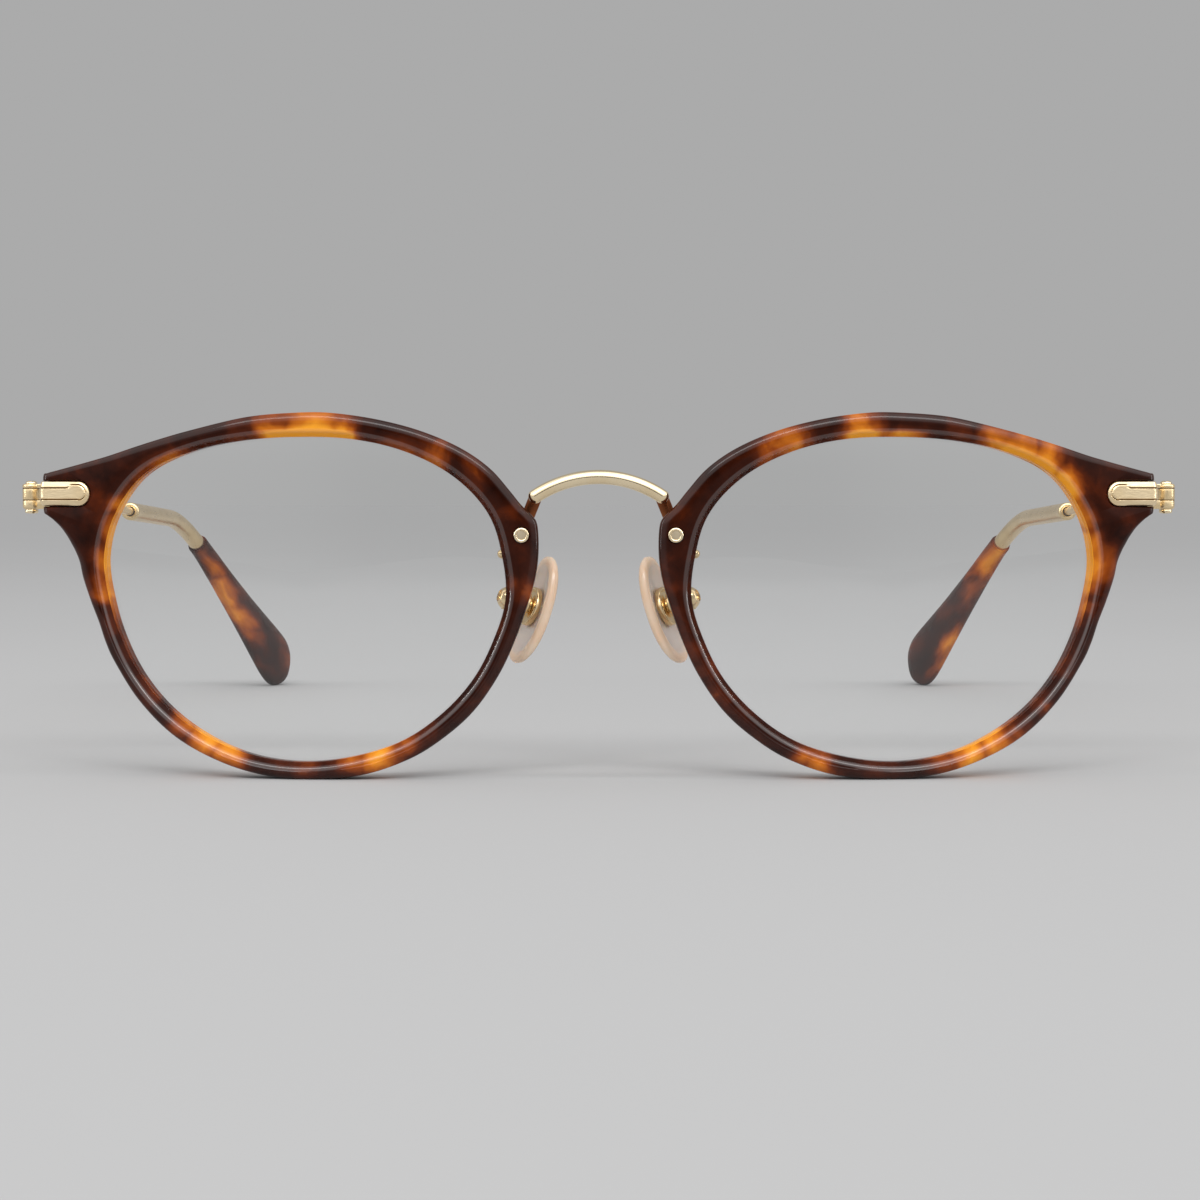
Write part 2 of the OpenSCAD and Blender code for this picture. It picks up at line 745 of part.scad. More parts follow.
// The middle line of the temple, measured from where the bend starts
bend_l = ear_r * ear_bend * PI / 180;
function turn(l) = min(max(l / ear_r * 180 / PI, 0), ear_bend);
function middle(l) =
    let (a = turn(l), past = l - ear_r * a * PI / 180)
    [0, ear_r * sin(a) + past * cos(a), -ear_r * (1 - cos(a)) - past * sin(a)];
function round_ring(l, r, sides) =
    let (a = turn(l), c = middle(l))
    [for (k = [0:sides - 1])
        let (b = -k * 360 / sides)
        c + [r * sin(b), r * cos(b) * sin(a), r * cos(b) * cos(a)]];

// A rod that follows the bend, for the wire's end and for what is bored for it
wire_sides = 12;
bend_steps = 8;
function bend_places(from, to) = concat([from], [for (i = [0:bend_steps])
    if (bend_l * i / bend_steps > from && bend_l * i / bend_steps < to) bend_l * i / bend_steps], [to]);

module bent_rod(from, to, r) {
    rings = [for (l = bend_places(from, to)) round_ring(l, r, wire_sides)];
    polyhedron(points = [for (ring = rings, p = ring) p],
        faces = concat(ring_faces(len(rings), wire_sides), cap_faces(len(rings), wire_sides)),
        convexity = 4);
}

neck_r = 0.7;
neck_l = 7;
core_l = 24;
rod_share = 0.98;

module temple_wire() {
    color(gold)
        difference() {
            union() {
                translate([hinge_x, hinge_y, middle_low + running_gap])
                    cylinder(r = knuckle_r, h = middle_high - middle_low - running_gap * 2);
                along_temple() {
                    rotate([-90, 0, 0])
                        cylinder(r1 = neck_r, r2 = wire_d / 2, h = neck_l);
                    translate([0, neck_l, 0])
                        back_cylinder(wire_d / 2, straight_l - neck_l);
                }
                at_bend()
                    bent_rod(-wire_d, bend_l + core_l, wire_d / 2 * rod_share);
            }
            translate([hinge_x, hinge_y, barrel_low])
                cylinder(r = hinge_screw_r + running_gap, h = barrel_h);
        }
}

// The sleeve: a tube on the wire with a chamfered mouth, bent with it and cut before the tip
sleeve_sides = 16;
sleeve_bend_share = 0.71;
sleeve_end = bend_l * sleeve_bend_share;
sleeve_bore_r = wire_d / 2 + fixed_gap * 2;
mouth_l = 0.8;
mouth_chamfer = 0.25;
mouth_r = 0.95;

module sleeve() {
    mouth = sleeve_start - straight_l;
    places = bend_places(mouth + mouth_chamfer, sleeve_end);
    outside = concat([round_ring(mouth, mouth_r, sleeve_sides),
            round_ring(mouth, sleeve_d / 2 - mouth_chamfer, sleeve_sides)],
        [for (l = places) round_ring(l, sleeve_d / 2, sleeve_sides)]);
    inside = [for (i = [len(places) - 1:-1:0])
        round_ring(i == 0 ? mouth + mouth_l : places[i], sleeve_bore_r, sleeve_sides)];
    rings = concat(outside, inside);
    color(gold)
        at_bend()
            polyhedron(points = [for (ring = rings, p = ring) p],
                faces = concat(ring_faces(len(rings), sleeve_sides),
                    seam_faces(len(rings), sleeve_sides)), convexity = 6);
}

// Joins the last ring back to the first
function seam_faces(rings, sides) = [for (k = [0:sides - 1], half = [0, 1])
    let (a = (rings - 1) * sides + k, b = (rings - 1) * sides + (k + 1) % sides)
    half == 0 ? [a, b, k] : [b, (k + 1) % sides, k]];

// The tip: a paddle lofted along the rest of the bend and straight on, round where it starts
tip_sides = 16;
tip_whole_l = bend_l - sleeve_end + tip_l;
// Place along the tip, width and thickness, as shares
tip_shares = [[0, 0, 0], [0.07, 0.02, 0.1], [0.16, 0.09, 0.25], [0.28, 0.2, 0.45], [0.4, 0.34, 0.65],
    [0.52, 0.5, 0.8], [0.64, 0.68, 0.95], [0.75, 0.86, 1], [0.84, 0.98, 0.95], [0.9, 0.96, 0.7],
    [0.95, 0.72, 0.1], [0.985, 0.16, -1.3], [0.998, -0.4, -3.5]];
lift_share = 0.12;

function tip_ring(share) =
    let (l = sleeve_end + seat_gap + tip_whole_l * share[0], a = turn(l), c = middle(l),
        w = tip_start_d + (tip_w - tip_start_d) * share[1],
        t = tip_start_d + (tip_t - tip_start_d) * share[2],
        up = [-sin(tip_roll), sin(a) * cos(tip_roll), cos(a) * cos(tip_roll)],
        out = [cos(tip_roll), sin(a) * sin(tip_roll), cos(a) * sin(tip_roll)])
    [for (k = [0:tip_sides - 1])
        let (b = -k * 360 / tip_sides)
        c + up * (w / 2 * cos(b) + (w - tip_start_d) * lift_share) + out * t / 2 * sin(b)];

module tip() {
    color(tortoise)
        at_bend()
            difference() {
                polyhedron(points = [for (s = tip_shares, p = tip_ring(s)) p],
                    faces = concat(ring_faces(len(tip_shares), tip_sides),
                        cap_faces(len(tip_shares), tip_sides)), convexity = 4);
                bent_rod(sleeve_end - overrun, bend_l + core_l + fixed_gap, wire_d / 2 + fixed_gap);
            }
}

sided(1) rim();  // left_rim
sided(-1) rim();  // right_rim
sided(1) lens();  // left_lens
sided(-1) lens();  // right_lens
bridge();
bridge_rivets();
sided(1) pad_arm();  // left_pad_arm
sided(-1) pad_arm();  // right_pad_arm
arm_pegs();
sided(1) pad_cup();  // left_pad_cup
sided(-1) pad_cup();  // right_pad_cup
pad_screws();
sided(1) nose_pad();  // left_nose_pad
sided(-1) nose_pad();  // right_nose_pad
sided(1) endpiece();  // left_endpiece
sided(-1) endpiece();  // right_endpiece
endpiece_screws();
hinge_screws();
hinge_nuts();
sided(1) temple_wire();  // left_temple_wire
sided(-1) temple_wire();  // right_temple_wire
sided(1) sleeve();  // left_sleeve
sided(-1) sleeve();  // right_sleeve
sided(1) tip();  // left_tip
sided(-1) tip();  // right_tip
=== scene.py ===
import math
import bpy
import bmesh
from mathutils import Vector, Matrix


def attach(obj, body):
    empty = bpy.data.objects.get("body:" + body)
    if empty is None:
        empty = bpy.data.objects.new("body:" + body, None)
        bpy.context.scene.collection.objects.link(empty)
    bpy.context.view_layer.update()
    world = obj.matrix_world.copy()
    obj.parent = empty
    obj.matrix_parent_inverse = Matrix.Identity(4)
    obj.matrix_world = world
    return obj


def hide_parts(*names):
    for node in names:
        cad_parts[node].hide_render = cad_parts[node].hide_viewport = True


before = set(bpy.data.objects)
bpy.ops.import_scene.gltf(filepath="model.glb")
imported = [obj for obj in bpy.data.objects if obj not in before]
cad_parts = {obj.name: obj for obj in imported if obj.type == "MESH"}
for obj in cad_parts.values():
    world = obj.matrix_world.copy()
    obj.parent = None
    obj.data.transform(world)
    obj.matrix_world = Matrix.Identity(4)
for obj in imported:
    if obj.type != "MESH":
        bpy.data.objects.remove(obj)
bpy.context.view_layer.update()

MM = 0.001

# Sizes in millimetres and angles, as in the CAD source
OPENING_W, OPENING_H, NOSE_W = 50.4, 39.8, 22.4
EYE_X = (NOSE_W + OPENING_W) / 2
RIM_W, RIM_T, BEND_R, FACE_FORM = 3.0, 3.9, 200.0, math.radians(4.2)
EDGE_R = 0.75
LENS_T, GROOVE_D, GROOVE_Y, LENS_DOME = 1.7, 0.65, 1.9, 0.9
WING_END, WING_H, WING_L, WING_Z = OPENING_W / 2 + 7.8, 4.9, 12.0, 12.95
PLAQUE_H, PLAQUE_L, POCKET_D, PROUD, ARM_T = 3.04, 6.5, 0.9, 0.32, 1.15
HINGE_OUT, HINGE_DROP, HINGE_Y, KNUCKLE_R, BARREL_H, SCREW_R = 2.2, 0.33, 10.0, 1.09, 3.2, 0.4
BRIDGE_D, STRAP_D, RIVET_R = 1.75, 1.5, 0.95
STRAIGHT_L, SLEEVE_START, SLEEVE_D, WIRE_D = 80.0, 53.4, 2.7, 1.17
EAR_R, EAR_BEND, EAR_LEAN = 32.5, math.radians(40.7), math.radians(21.6)
SLOPE, CONVERGE = math.radians(2.5), math.radians(0.4)
TIP_L, TIP_W, TIP_T, TIP_START, TIP_ROLL = 34.2, 9.2, 4.0, 3.4, math.radians(34)
BOTTOM = 0.68
EYE_Z = OPENING_H / 2 + RIM_W * BOTTOM
SEAT = 0.05

# Lens opening, as shares of an ellipse, every 15 degrees from the nose over the top
OPENING = [0.997, 1.016, 1.055, 1.061, 1.042, 1.016, 0.997, 1.013, 1.056, 1.098, 1.076, 1.031,
           0.971, 0.942, 0.94, 0.952, 0.97, 0.992, 1, 0.997, 0.996, 0.979, 0.97, 0.97]
# Outer edge of the rim: angle and share of the rim's width, over the nose and the top, and below;
# between them the wing, as shares of its length and height from its outer end
TOP = [[0, 0.97], [6.5, 1.21], [12.5, 1.44], [18.5, 1.62], [22.5, 1.69], [25, 1.57],
       [28.4, 1.36], [33.4, 1.26], [40.3, 1.25], [47.1, 1.19], [54, 1.11], [61.7, 1.03], [69.4, 0.98],
       [77, 0.97], [84.7, 1], [92.4, 0.97], [100.2, 0.95], [107, 0.91]]
WING = [[1.58, 1.56], [1.32, 1.39], [1.04, 1.19], [0.745, 0.965], [0.557, 0.84], [0.374, 0.725],
        [0.165, 0.6], [0.05, 0.53], [0, 0.46], [0, 0], [0, -0.43], [0.03, -0.52], [0.1, -0.64],
        [0.19, -0.84], [0.26, -1.06], [0.305, -1.24], [0.353, -1.45], [0.4, -1.73], [0.437, -2.13],
        [0.52, -2.71]]
LOW = [[188, 0.66], [195.5, 0.67], [203, 0.65], [217.5, 0.66], [232, 0.71], [245, 0.68],
       [258, 0.67], [271, BOTTOM], [285, 0.8], [298, 0.8], [309, 0.81], [321, 0.84],
       [334.5, 0.81], [347.5, 0.84]]


def smooth(a, b, c, d, u):
    """A smooth curve through b and c, between them at share u."""
    return (b * 2 + (c - a) * u + (a * 2 - b * 5 + c * 4 - d) * u * u
            + (b * 3 - a - c * 3 + d) * u * u * u) / 2


def circle(n, way=1):
    """Angles once round in n steps."""
    return [way * 2 * math.pi * k / n for k in range(n)]


def between(a, b, t):
    return a + (b - a) * t


def clamp(v):
    return min(max(v, 0), 1)


def opening_share(deg):
    n = len(OPENING)
    at = (deg % 360) * n / 360
    i = int(math.floor(at))
    return smooth(*(OPENING[(i + k) % n] for k in (-1, 0, 1, 2)), at - i)


def opening_point(deg):
    r, a = opening_share(deg), math.radians(deg)
    return Vector((-OPENING_W / 2 * r * math.cos(a), OPENING_H / 2 * r * math.sin(a)))


def opening_angle(p):
    return math.degrees(math.atan2(p[1] / OPENING_H, -p[0] / OPENING_W)) % 360


def rim_point(deg, w):
    p = opening_point(deg)
    return p * (1 + RIM_W * w / p.length)


NODES = ([rim_point(a, w) for a, w in TOP]
         + [Vector((WING_END - WING_L * a, WING_Z + WING_H * b)) for a, b in WING]
         + [rim_point(a, w) for a, w in LOW])


def outline(steps):
    n = len(NODES)
    return [smooth(*(NODES[(i + j) % n] for j in (-1, 0, 1, 2)), k / steps)
            for i in range(n) for k in range(steps)]


FRONT_Y = BEND_R * (math.cos(FACE_FORM) - 1)
TEMPLE_END = HINGE_Y + (STRAIGHT_L + EAR_R * math.sin(EAR_BEND)
                        + TIP_L * math.cos(EAR_BEND)) * math.cos(SLOPE)
MID_Y = (FRONT_Y + TEMPLE_END) / 2


def sheet(s, z, d):
    """A point of the bent front in the row's frame: s outwards, z up from the eye, d back."""
    a = FACE_FORM + s / BEND_R
    return Vector((EYE_X + BEND_R * (math.sin(a) - math.sin(FACE_FORM)) - d * math.sin(a),
                   BEND_R * (math.cos(FACE_FORM) - math.cos(a)) + d * math.cos(a) - MID_Y,
                   EYE_Z + z)) * MM


def sheet_frame(s, z, d=0.0):
    """The matrix of the bent front at a place: x outwards, y back, z up, in millimetres."""
    return (Matrix.Translation(sheet(s, z, d)) @ Matrix.Rotation(FACE_FORM + s / BEND_R, 4, "Z")
            @ Matrix.Scale(MM, 4))


CORNER = sheet(WING_END, WING_Z, 0) / MM
ARM_X = CORNER[0] + PROUD
HINGE_X = ARM_X + HINGE_OUT


def mirrored(points, side):
    return [Vector((p[0] * side, p[1], p[2])) for p in points]


def make(name, verts, faces, side=1, sharp=35.0):
    """A mesh object from points in metres on the left side; side -1 mirrors it."""
    mesh = bpy.data.meshes.new(name)
    if side < 0:
        verts = mirrored(verts, -1)
        faces = [tuple(reversed(f)) for f in faces]
    mesh.from_pydata([tuple(v) for v in verts], [], faces)
    mesh.validate()
    obj = bpy.data.objects.new(name, mesh)
    bpy.context.scene.collection.objects.link(obj)
    soften(obj, sharp)
    return obj


def soften(obj, sharp=35.0):
    """Smooth faces, with edges sharper than an angle left crisp."""
    bm = bmesh.new()
    bm.from_mesh(obj.data)
    bmesh.ops.recalc_face_normals(bm, faces=bm.faces)
    for f in bm.faces:
        f.smooth = True
    for e in bm.edges:
        e.smooth = len(e.link_faces) == 2 and e.calc_face_angle(0) < math.radians(sharp)
    bm.to_mesh(obj.data)
    bm.free()


def rings_mesh(rings, closed=False):
    """Points and faces of a skin over rings of equal length, closed to a loop or at its ends."""
    n, verts, faces = len(rings[0]), [p for r in rings for p in r], []
    for i in range(len(rings) if closed else len(rings) - 1):
        j = (i + 1) % len(rings)
        for k in range(n):
            m = (k + 1) % n
            faces.append((i * n + k, i * n + m, j * n + m, j * n + k))
    if not closed:
        faces.append(tuple(reversed(range(n))))
        faces.append(tuple((len(rings) - 1) * n + k for k in range(n)))
    return verts, faces


def together(parts):
    """Several skins as the points and faces of one piece."""
    verts, faces = [], []
    for v, f in parts:
        n = len(verts)
        verts += v
        faces += [tuple(i + n for i in q) for q in f]
    return verts, faces


def lathe(profile, place, n=64, closed=False):
    """A skin turned round the z axis of a place from (radius, height) pairs."""
    rings = [[place @ Vector((r * math.cos(a), r * math.sin(a), h)) for a in circle(n, -1)]
             for r, h in profile]
    return rings_mesh(rings, closed=closed)


def cut(obj, cutters):
    """Takes the cutters out of an object for good."""
    for c in cutters:
        m = obj.modifiers.new("cut", "BOOLEAN")
        m.operation, m.solver, m.object = "DIFFERENCE", "EXACT", c
    bpy.context.view_layer.update()
    deps = bpy.context.evaluated_depsgraph_get()
    mesh = bpy.data.meshes.new_from_object(obj.evaluated_get(deps))
    obj.modifiers.clear()
    obj.data = mesh
    for c in cutters:
        bpy.data.objects.remove(c)


# Rims ------------------------------------------------------------------------

# Where the bevel turns into the face inside the ridge, and the farthest that the ridge lies in
TURN_START, TURN_END, RIDGE_IN = 0.56, 0.92, 1.75
# Painted glow on the outer rounded edge, standing in for light through the acetate
PAINTED_EDGE_GLOW = 0.45


def rim_section(inner, outer):
    """Distance from the eye centre, depth and painted glow, round the section from the front lip. The
    painted glow brightens the colour at the bevel and edges, standing in for light through the acetate.
    """
    lip, low = GROOVE_Y - GROOVE_D - 0.25, 0.1
    b0, b1 = inner + TURN_START, inner + TURN_END
    ridge = inner + min(RIDGE_IN, (outer - inner) * 0.55)
    pts = [(inner, lip, 1.0), (inner + 0.03, lip - 0.06, 1.0)]
    pts += [(between(inner + 0.06, b0, t), between(lip - 0.12, low + 0.16, t), 1.0)
            for t in (0.05, 0.35, 0.65, 0.95)]
    pts += [(b0 + 0.07, low + 0.1, 0.85), (b0 + 0.15, low + 0.055, 0.6), (b0 + 0.25, low + 0.02, 0.45),
            (b1, low, 0.35)]
    pts += [(between(b1, ridge, t), low * (1 - t * t) ** 0.5 * (1 - t * 0.6), 0.25 * (1 - t))
            for t in (0.15, 0.5, 0.85)]
    pts += [(ridge - 0.04, 0.006, 0.0), (ridge + 0.06, 0.0, 0.0)]
    reach = min(1.15, max(outer - ridge - 0.12, 0.3))
    for i in range(11):
        t = math.pi / 2 * i / 10
        pts.append((outer - reach + reach * math.sin(t), EDGE_R * 1.05 * (1 - math.cos(t)),
                    PAINTED_EDGE_GLOW * (i / 10) ** 2))
    for i in range(9):
        t = math.pi / 2 * i / 8
        pts.append((outer - EDGE_R + EDGE_R * math.cos(t), RIM_T - EDGE_R + EDGE_R * math.sin(t),
                    PAINTED_EDGE_GLOW * (1 - i / 8)))
    r = EDGE_R * 0.45
    for i in range(5):
        t = math.pi / 2 * i / 4
        pts.append((inner + r - r * math.sin(t), RIM_T - r + r * math.cos(t), i / 4))
    pts += [(inner, GROOVE_Y + GROOVE_D, 1.0), (inner + GROOVE_D, GROOVE_Y, 1.0),
            (inner, GROOVE_Y - GROOVE_D, 1.0)]
    return pts


def polished(q, inner, outer):
    """How highly a point of the section is polished: at the turn of the bevel and at the outer edge."""
    if q[1] < 0.3 and inner + TURN_START - 0.06 < q[0] < inner + TURN_END + 0.05:
        return 1.0
    return 0.3 * clamp((q[0] - outer + 1.25) / 0.4) if q[1] < 1.3 else 0.0


def rim_rings(steps):
    """Rings of the skin, and at each point how much painted glow it gets and how highly it is polished;
    the painted glow stands in for light through the acetate.
    """
    rings, painted_glow, polish = [], [], []
    for p in outline(steps):
        e, inner = p / p.length, opening_point(opening_angle(p)).length
        section = rim_section(inner, p.length)
        rings.append([sheet(q[0] * e[0], q[0] * e[1], q[1]) for q in section])
        # The painted glow on the front face grows towards the top of the rim, where the light falls
        front = 0.3 + 0.7 * max(e[1], 0) ** 3
        painted_glow += [q[2] * (front if q[1] < GROOVE_Y - GROOVE_D - 0.3 else 1) for q in section]
        polish += [polished(q, inner, p.length) for q in section]
    return rings, painted_glow, polish


def give(obj, name, values):
    """Keeps a value at each point for the shader."""
    a = obj.data.attributes.new(name, "FLOAT", "POINT")
    a.data.foreach_set("value", values)


def stadium(r, length, past, n=20):
    """Outline of the plaque: round at its inner end, running out past the wing's end."""
    c = PLAQUE_H / 2 - length
    turns = [math.pi / 2 + math.pi * i / n for i in range(n + 1)]
    return [(c + r * math.cos(t), r * math.sin(t)) for t in turns] + [(past, -r), (past, r)]


def pocket_cutter(side):
    """The plaque's pocket, with a rounded mouth, from how much wider it is at each depth."""
    m = sheet_frame(WING_END, WING_Z)
    rings = [[m @ Vector((x, d, z)) for x, z in stadium(PLAQUE_H / 2 + grow, PLAQUE_L, 1.5)]
             for grow, d in ((0.5, -0.6), (0.37, -0.04), (0.29, 0.02), (0.19, 0.1), (0.11, 0.24),
                             (0.08, 0.4), (0.08, POCKET_D))]
    return make("pocket", *rings_mesh(rings), side=side)


def arm_slot_cutter(side):
    x0, past = ARM_X - ARM_T - SEAT, 4
    z0 = EYE_Z + WING_Z - PLAQUE_H / 2 - SEAT
    z1 = z0 + PLAQUE_H + SEAT * 2
    ring = [(x0, z0), (x0 + past, z0), (x0 + past, z1), (x0, z1)]
    rings = [[Vector((x, y - MID_Y, z)) * MM for x, z in ring] for y in (0, HINGE_Y + past)]
    return make("slot", *rings_mesh(rings), side=side)


def round_cutter(side, s, z, profile):
    m = sheet_frame(s, z)
    rings = [[m @ Vector((r * math.cos(a), d, r * math.sin(a))) for a in circle(48)]
             for r, d in profile]
    return make("round", *rings_mesh(rings), side=side)


RIVET = (-OPENING_W / 2 - 1.85, 7.9)


def build_rim(side, name):
    rings, painted_glow, polish = rim_rings(8)
    obj = make(name, *rings_mesh(rings, closed=True), side=side)
    give(obj, "painted_glow", painted_glow)
    give(obj, "polish", polish)
    rivet_seat = [(1.25, -0.5), (1.12, -0.05), (1.02, 0.06), (1.0, 0.2)]
    cut(obj, [pocket_cutter(side), arm_slot_cutter(side), round_cutter(side, *RIVET, rivet_seat)])
    soften(obj, 40)
    return obj


# Lenses ----------------------------------------------------------------------

def build_lens(side, name):
    """A domed lens whose bevelled edge stands in the groove; the edge gets the second material."""
    n, gap, bevel = 192, 0.02, GROOVE_D - 0.05
    front, back = GROOVE_Y - LENS_T / 2, GROOVE_Y + LENS_T / 2
    shares = [0.03, 0.15, 0.3, 0.45, 0.6, 0.72, 0.82, 0.9, 0.96]

    def ring(share, out, d):
        points = [opening_point(360 - k * 360 / n) for k in range(n)]
        return [sheet(*(p * (share + out / p.length)), d) for p in points]

    def sag(s):
        return -LENS_DOME * (1 - s * s)

    rings = [ring(s, 0, front + sag(s)) for s in shares]
    rings += [ring(1, -gap, front), ring(1, -gap, GROOVE_Y - bevel), ring(1, bevel, GROOVE_Y),
              ring(1, -gap, GROOVE_Y + bevel), ring(1, -gap, back)]
    rings += [ring(s, 0, back + sag(s)) for s in reversed(shares)]
    obj = make(name, *rings_mesh(rings), side=side, sharp=20)
    first, last = n * len(shares), n * (len(shares) + 4)
    for p in obj.data.polygons:
        p.material_index = 1 if first <= min(p.vertices) and max(p.vertices) < last + n else 0
    return obj


# Temples ---------------------------------------------------------------------

BARREL_Z = EYE_Z + WING_Z - HINGE_DROP
LOW_SHARE, MIDDLE_SHARE = 0.36, 0.46
KNUCKLE_GAP = 0.008
BARREL_LOW = BARREL_Z - BARREL_H / 2
MIDDLE_LOW = BARREL_LOW + BARREL_H * LOW_SHARE
MIDDLE_HIGH = MIDDLE_LOW + BARREL_H * MIDDLE_SHARE
BARREL_HIGH = BARREL_LOW + BARREL_H
HINGE = Matrix.Translation(Vector((HINGE_X, HINGE_Y - MID_Y, 0)) * MM) @ Matrix.Scale(MM, 4)
TEMPLE_Z = BARREL_Z - BARREL_H / 2 + BARREL_H * (LOW_SHARE + MIDDLE_SHARE / 2)
TEMPLE = (Matrix.Translation(Vector((HINGE_X, HINGE_Y - MID_Y, TEMPLE_Z)) * MM)
          @ Matrix.Rotation(CONVERGE, 4, "Z") @ Matrix.Rotation(-SLOPE, 4, "X") @ Matrix.Scale(MM, 4))
BEND = TEMPLE @ Matrix.Translation((0, STRAIGHT_L, 0)) @ Matrix.Rotation(EAR_LEAN, 4, "Y")
BEND_L = EAR_R * EAR_BEND
SLEEVE_END = BEND_L * 0.71


def turn(l):
    """How far the temple has turned down at a length past the start of its bend."""
    return min(max(l / EAR_R, 0), EAR_BEND)


def middle(l):
    """The middle of the temple at that length."""
    a = turn(l)
    past = l - EAR_R * a
    return Vector((0, EAR_R * math.sin(a) + past * math.cos(a),
                   -EAR_R * (1 - math.cos(a)) - past * math.sin(a)))


def round_ring(l, r, n=40):
    a, c = turn(l), middle(l)
    return [BEND @ (c + r * Vector((math.sin(b), math.cos(b) * math.sin(a), math.cos(b) * math.cos(a))))
            for b in circle(n, -1)]


def build_sleeve(side, name):
    """A tube with a rounded mouth, round the wire and down the bend."""
    r, bore, mouth, lip, steps = SLEEVE_D / 2, WIRE_D / 2 + 0.06, SLEEVE_START - STRAIGHT_L, 0.3, 64
    start = mouth + lip
    places = [start + (SLEEVE_END - 0.1 - start) * i / steps for i in range(1, steps + 1)]
    rings = [(mouth + 0.06, bore + 0.1), (mouth, bore + 0.2), (mouth, r - 0.3), (mouth + 0.05, r - 0.17),
             (mouth + 0.16, r - 0.05), (start, r)]
    rings += [(l, r) for l in places] + [(SLEEVE_END - 0.03, r - 0.05), (SLEEVE_END, r - 0.15)]
    rings += [(l, bore) for l in reversed(places)] + [(mouth + 0.5, bore)]
    return make(name, *rings_mesh([round_ring(*q) for q in rings], closed=True), side=side, sharp=40)


def crisp(z, into):
    """The barely broken edge of a knuckle's end; into is the way from it into the knuckle."""
    return [(KNUCKLE_R - 0.07, z), (KNUCKLE_R - 0.02, z + into * 0.02), (KNUCKLE_R, z + into * 0.07)]


def knuckle(low, high, hole, start, end):
    """A barrel's knuckle round the hinge pin, from the profiles of its two ends."""
    return lathe([(hole, low + 0.02)] + start + end + [(hole, high - 0.02)], HINGE, closed=True)


def build_wire(side, name):
    """The middle knuckle, the neck and the thin wire down into the sleeve and the tip."""
    places = [(0.2, 0.7), (2, 0.667), (4, 0.634), (6, 0.601), (7, WIRE_D / 2)]
    rings = [round_ring(l - STRAIGHT_L, r, 32) for l, r in places]
    rings += [round_ring(l, WIRE_D / 2, 32) for l in (-60.0, -40.0, -20.0, -10.0, -4.0)]
    rings += [round_ring(BEND_L * i / 24, WIRE_D / 2, 32) for i in range(25)]
    rings += [round_ring(BEND_L + 8, WIRE_D / 2, 32)]
    low, high = MIDDLE_LOW + KNUCKLE_GAP, MIDDLE_HIGH - KNUCKLE_GAP
    bead = knuckle(low, high, SCREW_R + 0.05, crisp(low, 1) + [(KNUCKLE_R, low + 0.5)],
                   [(KNUCKLE_R, high - 0.5)] + crisp(high, -1)[::-1])
    obj = make(name, *together([rings_mesh(rings), bead]), side=side, sharp=40)
    shade_grooves(obj, range(len(obj.data.polygons)), 0)
    return obj


# Share of the tip's length, and how far its width and thickness have grown there
TIP_SHARES = [[0, 0, 0], [0.07, 0.02, 0.1], [0.16, 0.09, 0.25], [0.28, 0.2, 0.45], [0.4, 0.34, 0.65],
              [0.52, 0.5, 0.8], [0.64, 0.68, 0.95], [0.75, 0.86, 1], [0.84, 0.98, 0.95], [0.9, 0.96, 0.7],
              [0.95, 0.72, 0.1], [0.985, 0.16, -1.3], [0.998, -0.4, -3.5]]
WHOLE_TIP = BEND_L - SLEEVE_END + TIP_L
TIP_LIFT = 0.12


def tip_ring(share, n=48):
    l = SLEEVE_END + SEAT + WHOLE_TIP * share[0]
    a, c, r = turn(l), middle(l), TIP_ROLL
    w, t = between(TIP_START, TIP_W, share[1]), between(TIP_START, TIP_T, share[2])
    up = Vector((-math.sin(r), math.sin(a) * math.cos(r), math.cos(a) * math.cos(r)))
    out = Vector((math.cos(r), math.sin(a) * math.sin(r), math.cos(a) * math.sin(r)))
    return [BEND @ (c + up * (w / 2 * math.cos(b) + (w - TIP_START) * TIP_LIFT)
                    + out * (t / 2 * math.sin(b))) for b in circle(n, -1)]


def build_tip(side, name):
    """The paddle tip: round at the sleeve, then wide and flat, with a rounded end."""
    steps, start, soft = 5, SLEEVE_END + SEAT, 0.12
    last = len(TIP_SHARES) - 1
    rows = []
    for i in range(last):
        four = [TIP_SHARES[min(max(i + k, 0), last)] for k in (-1, 0, 1, 2)]
        rows += [[smooth(*(q[j] for q in four), k / steps) for j in range(3)] for k in range(steps)]
    rows.append(TIP_SHARES[-1])
    rings = [round_ring(start, SLEEVE_D / 2 - 0.1, 48), round_ring(start, TIP_START / 2 - soft, 48)]
    rings += [tip_ring(q) for q in rows if q[0] * WHOLE_TIP > soft]
    return make(name, *rings_mesh(rings), side=side, sharp=45)


# Nose pads -------------------------------------------------------------------

PAD_L, PAD_W, PAD_T, PAD_BOW, PAD_LOW = 14.0, 7.4, 1.5, 0.6, 0.3
CUP_AT = (NOSE_W / 2 - 2.95, RIM_T + 3.7, -1.2)
SPLAY, FLARE = math.radians(23), math.radians(19.5)
PAD = (Matrix.Translation(Vector((CUP_AT[0], CUP_AT[1] - MID_Y, EYE_Z + CUP_AT[2])) * MM)
       @ Matrix.Rotation(math.pi - SPLAY, 4, "Z") @ Matrix.Rotation(math.pi / 2 + FLARE, 4, "Y")
       @ Matrix.Scale(MM, 4))


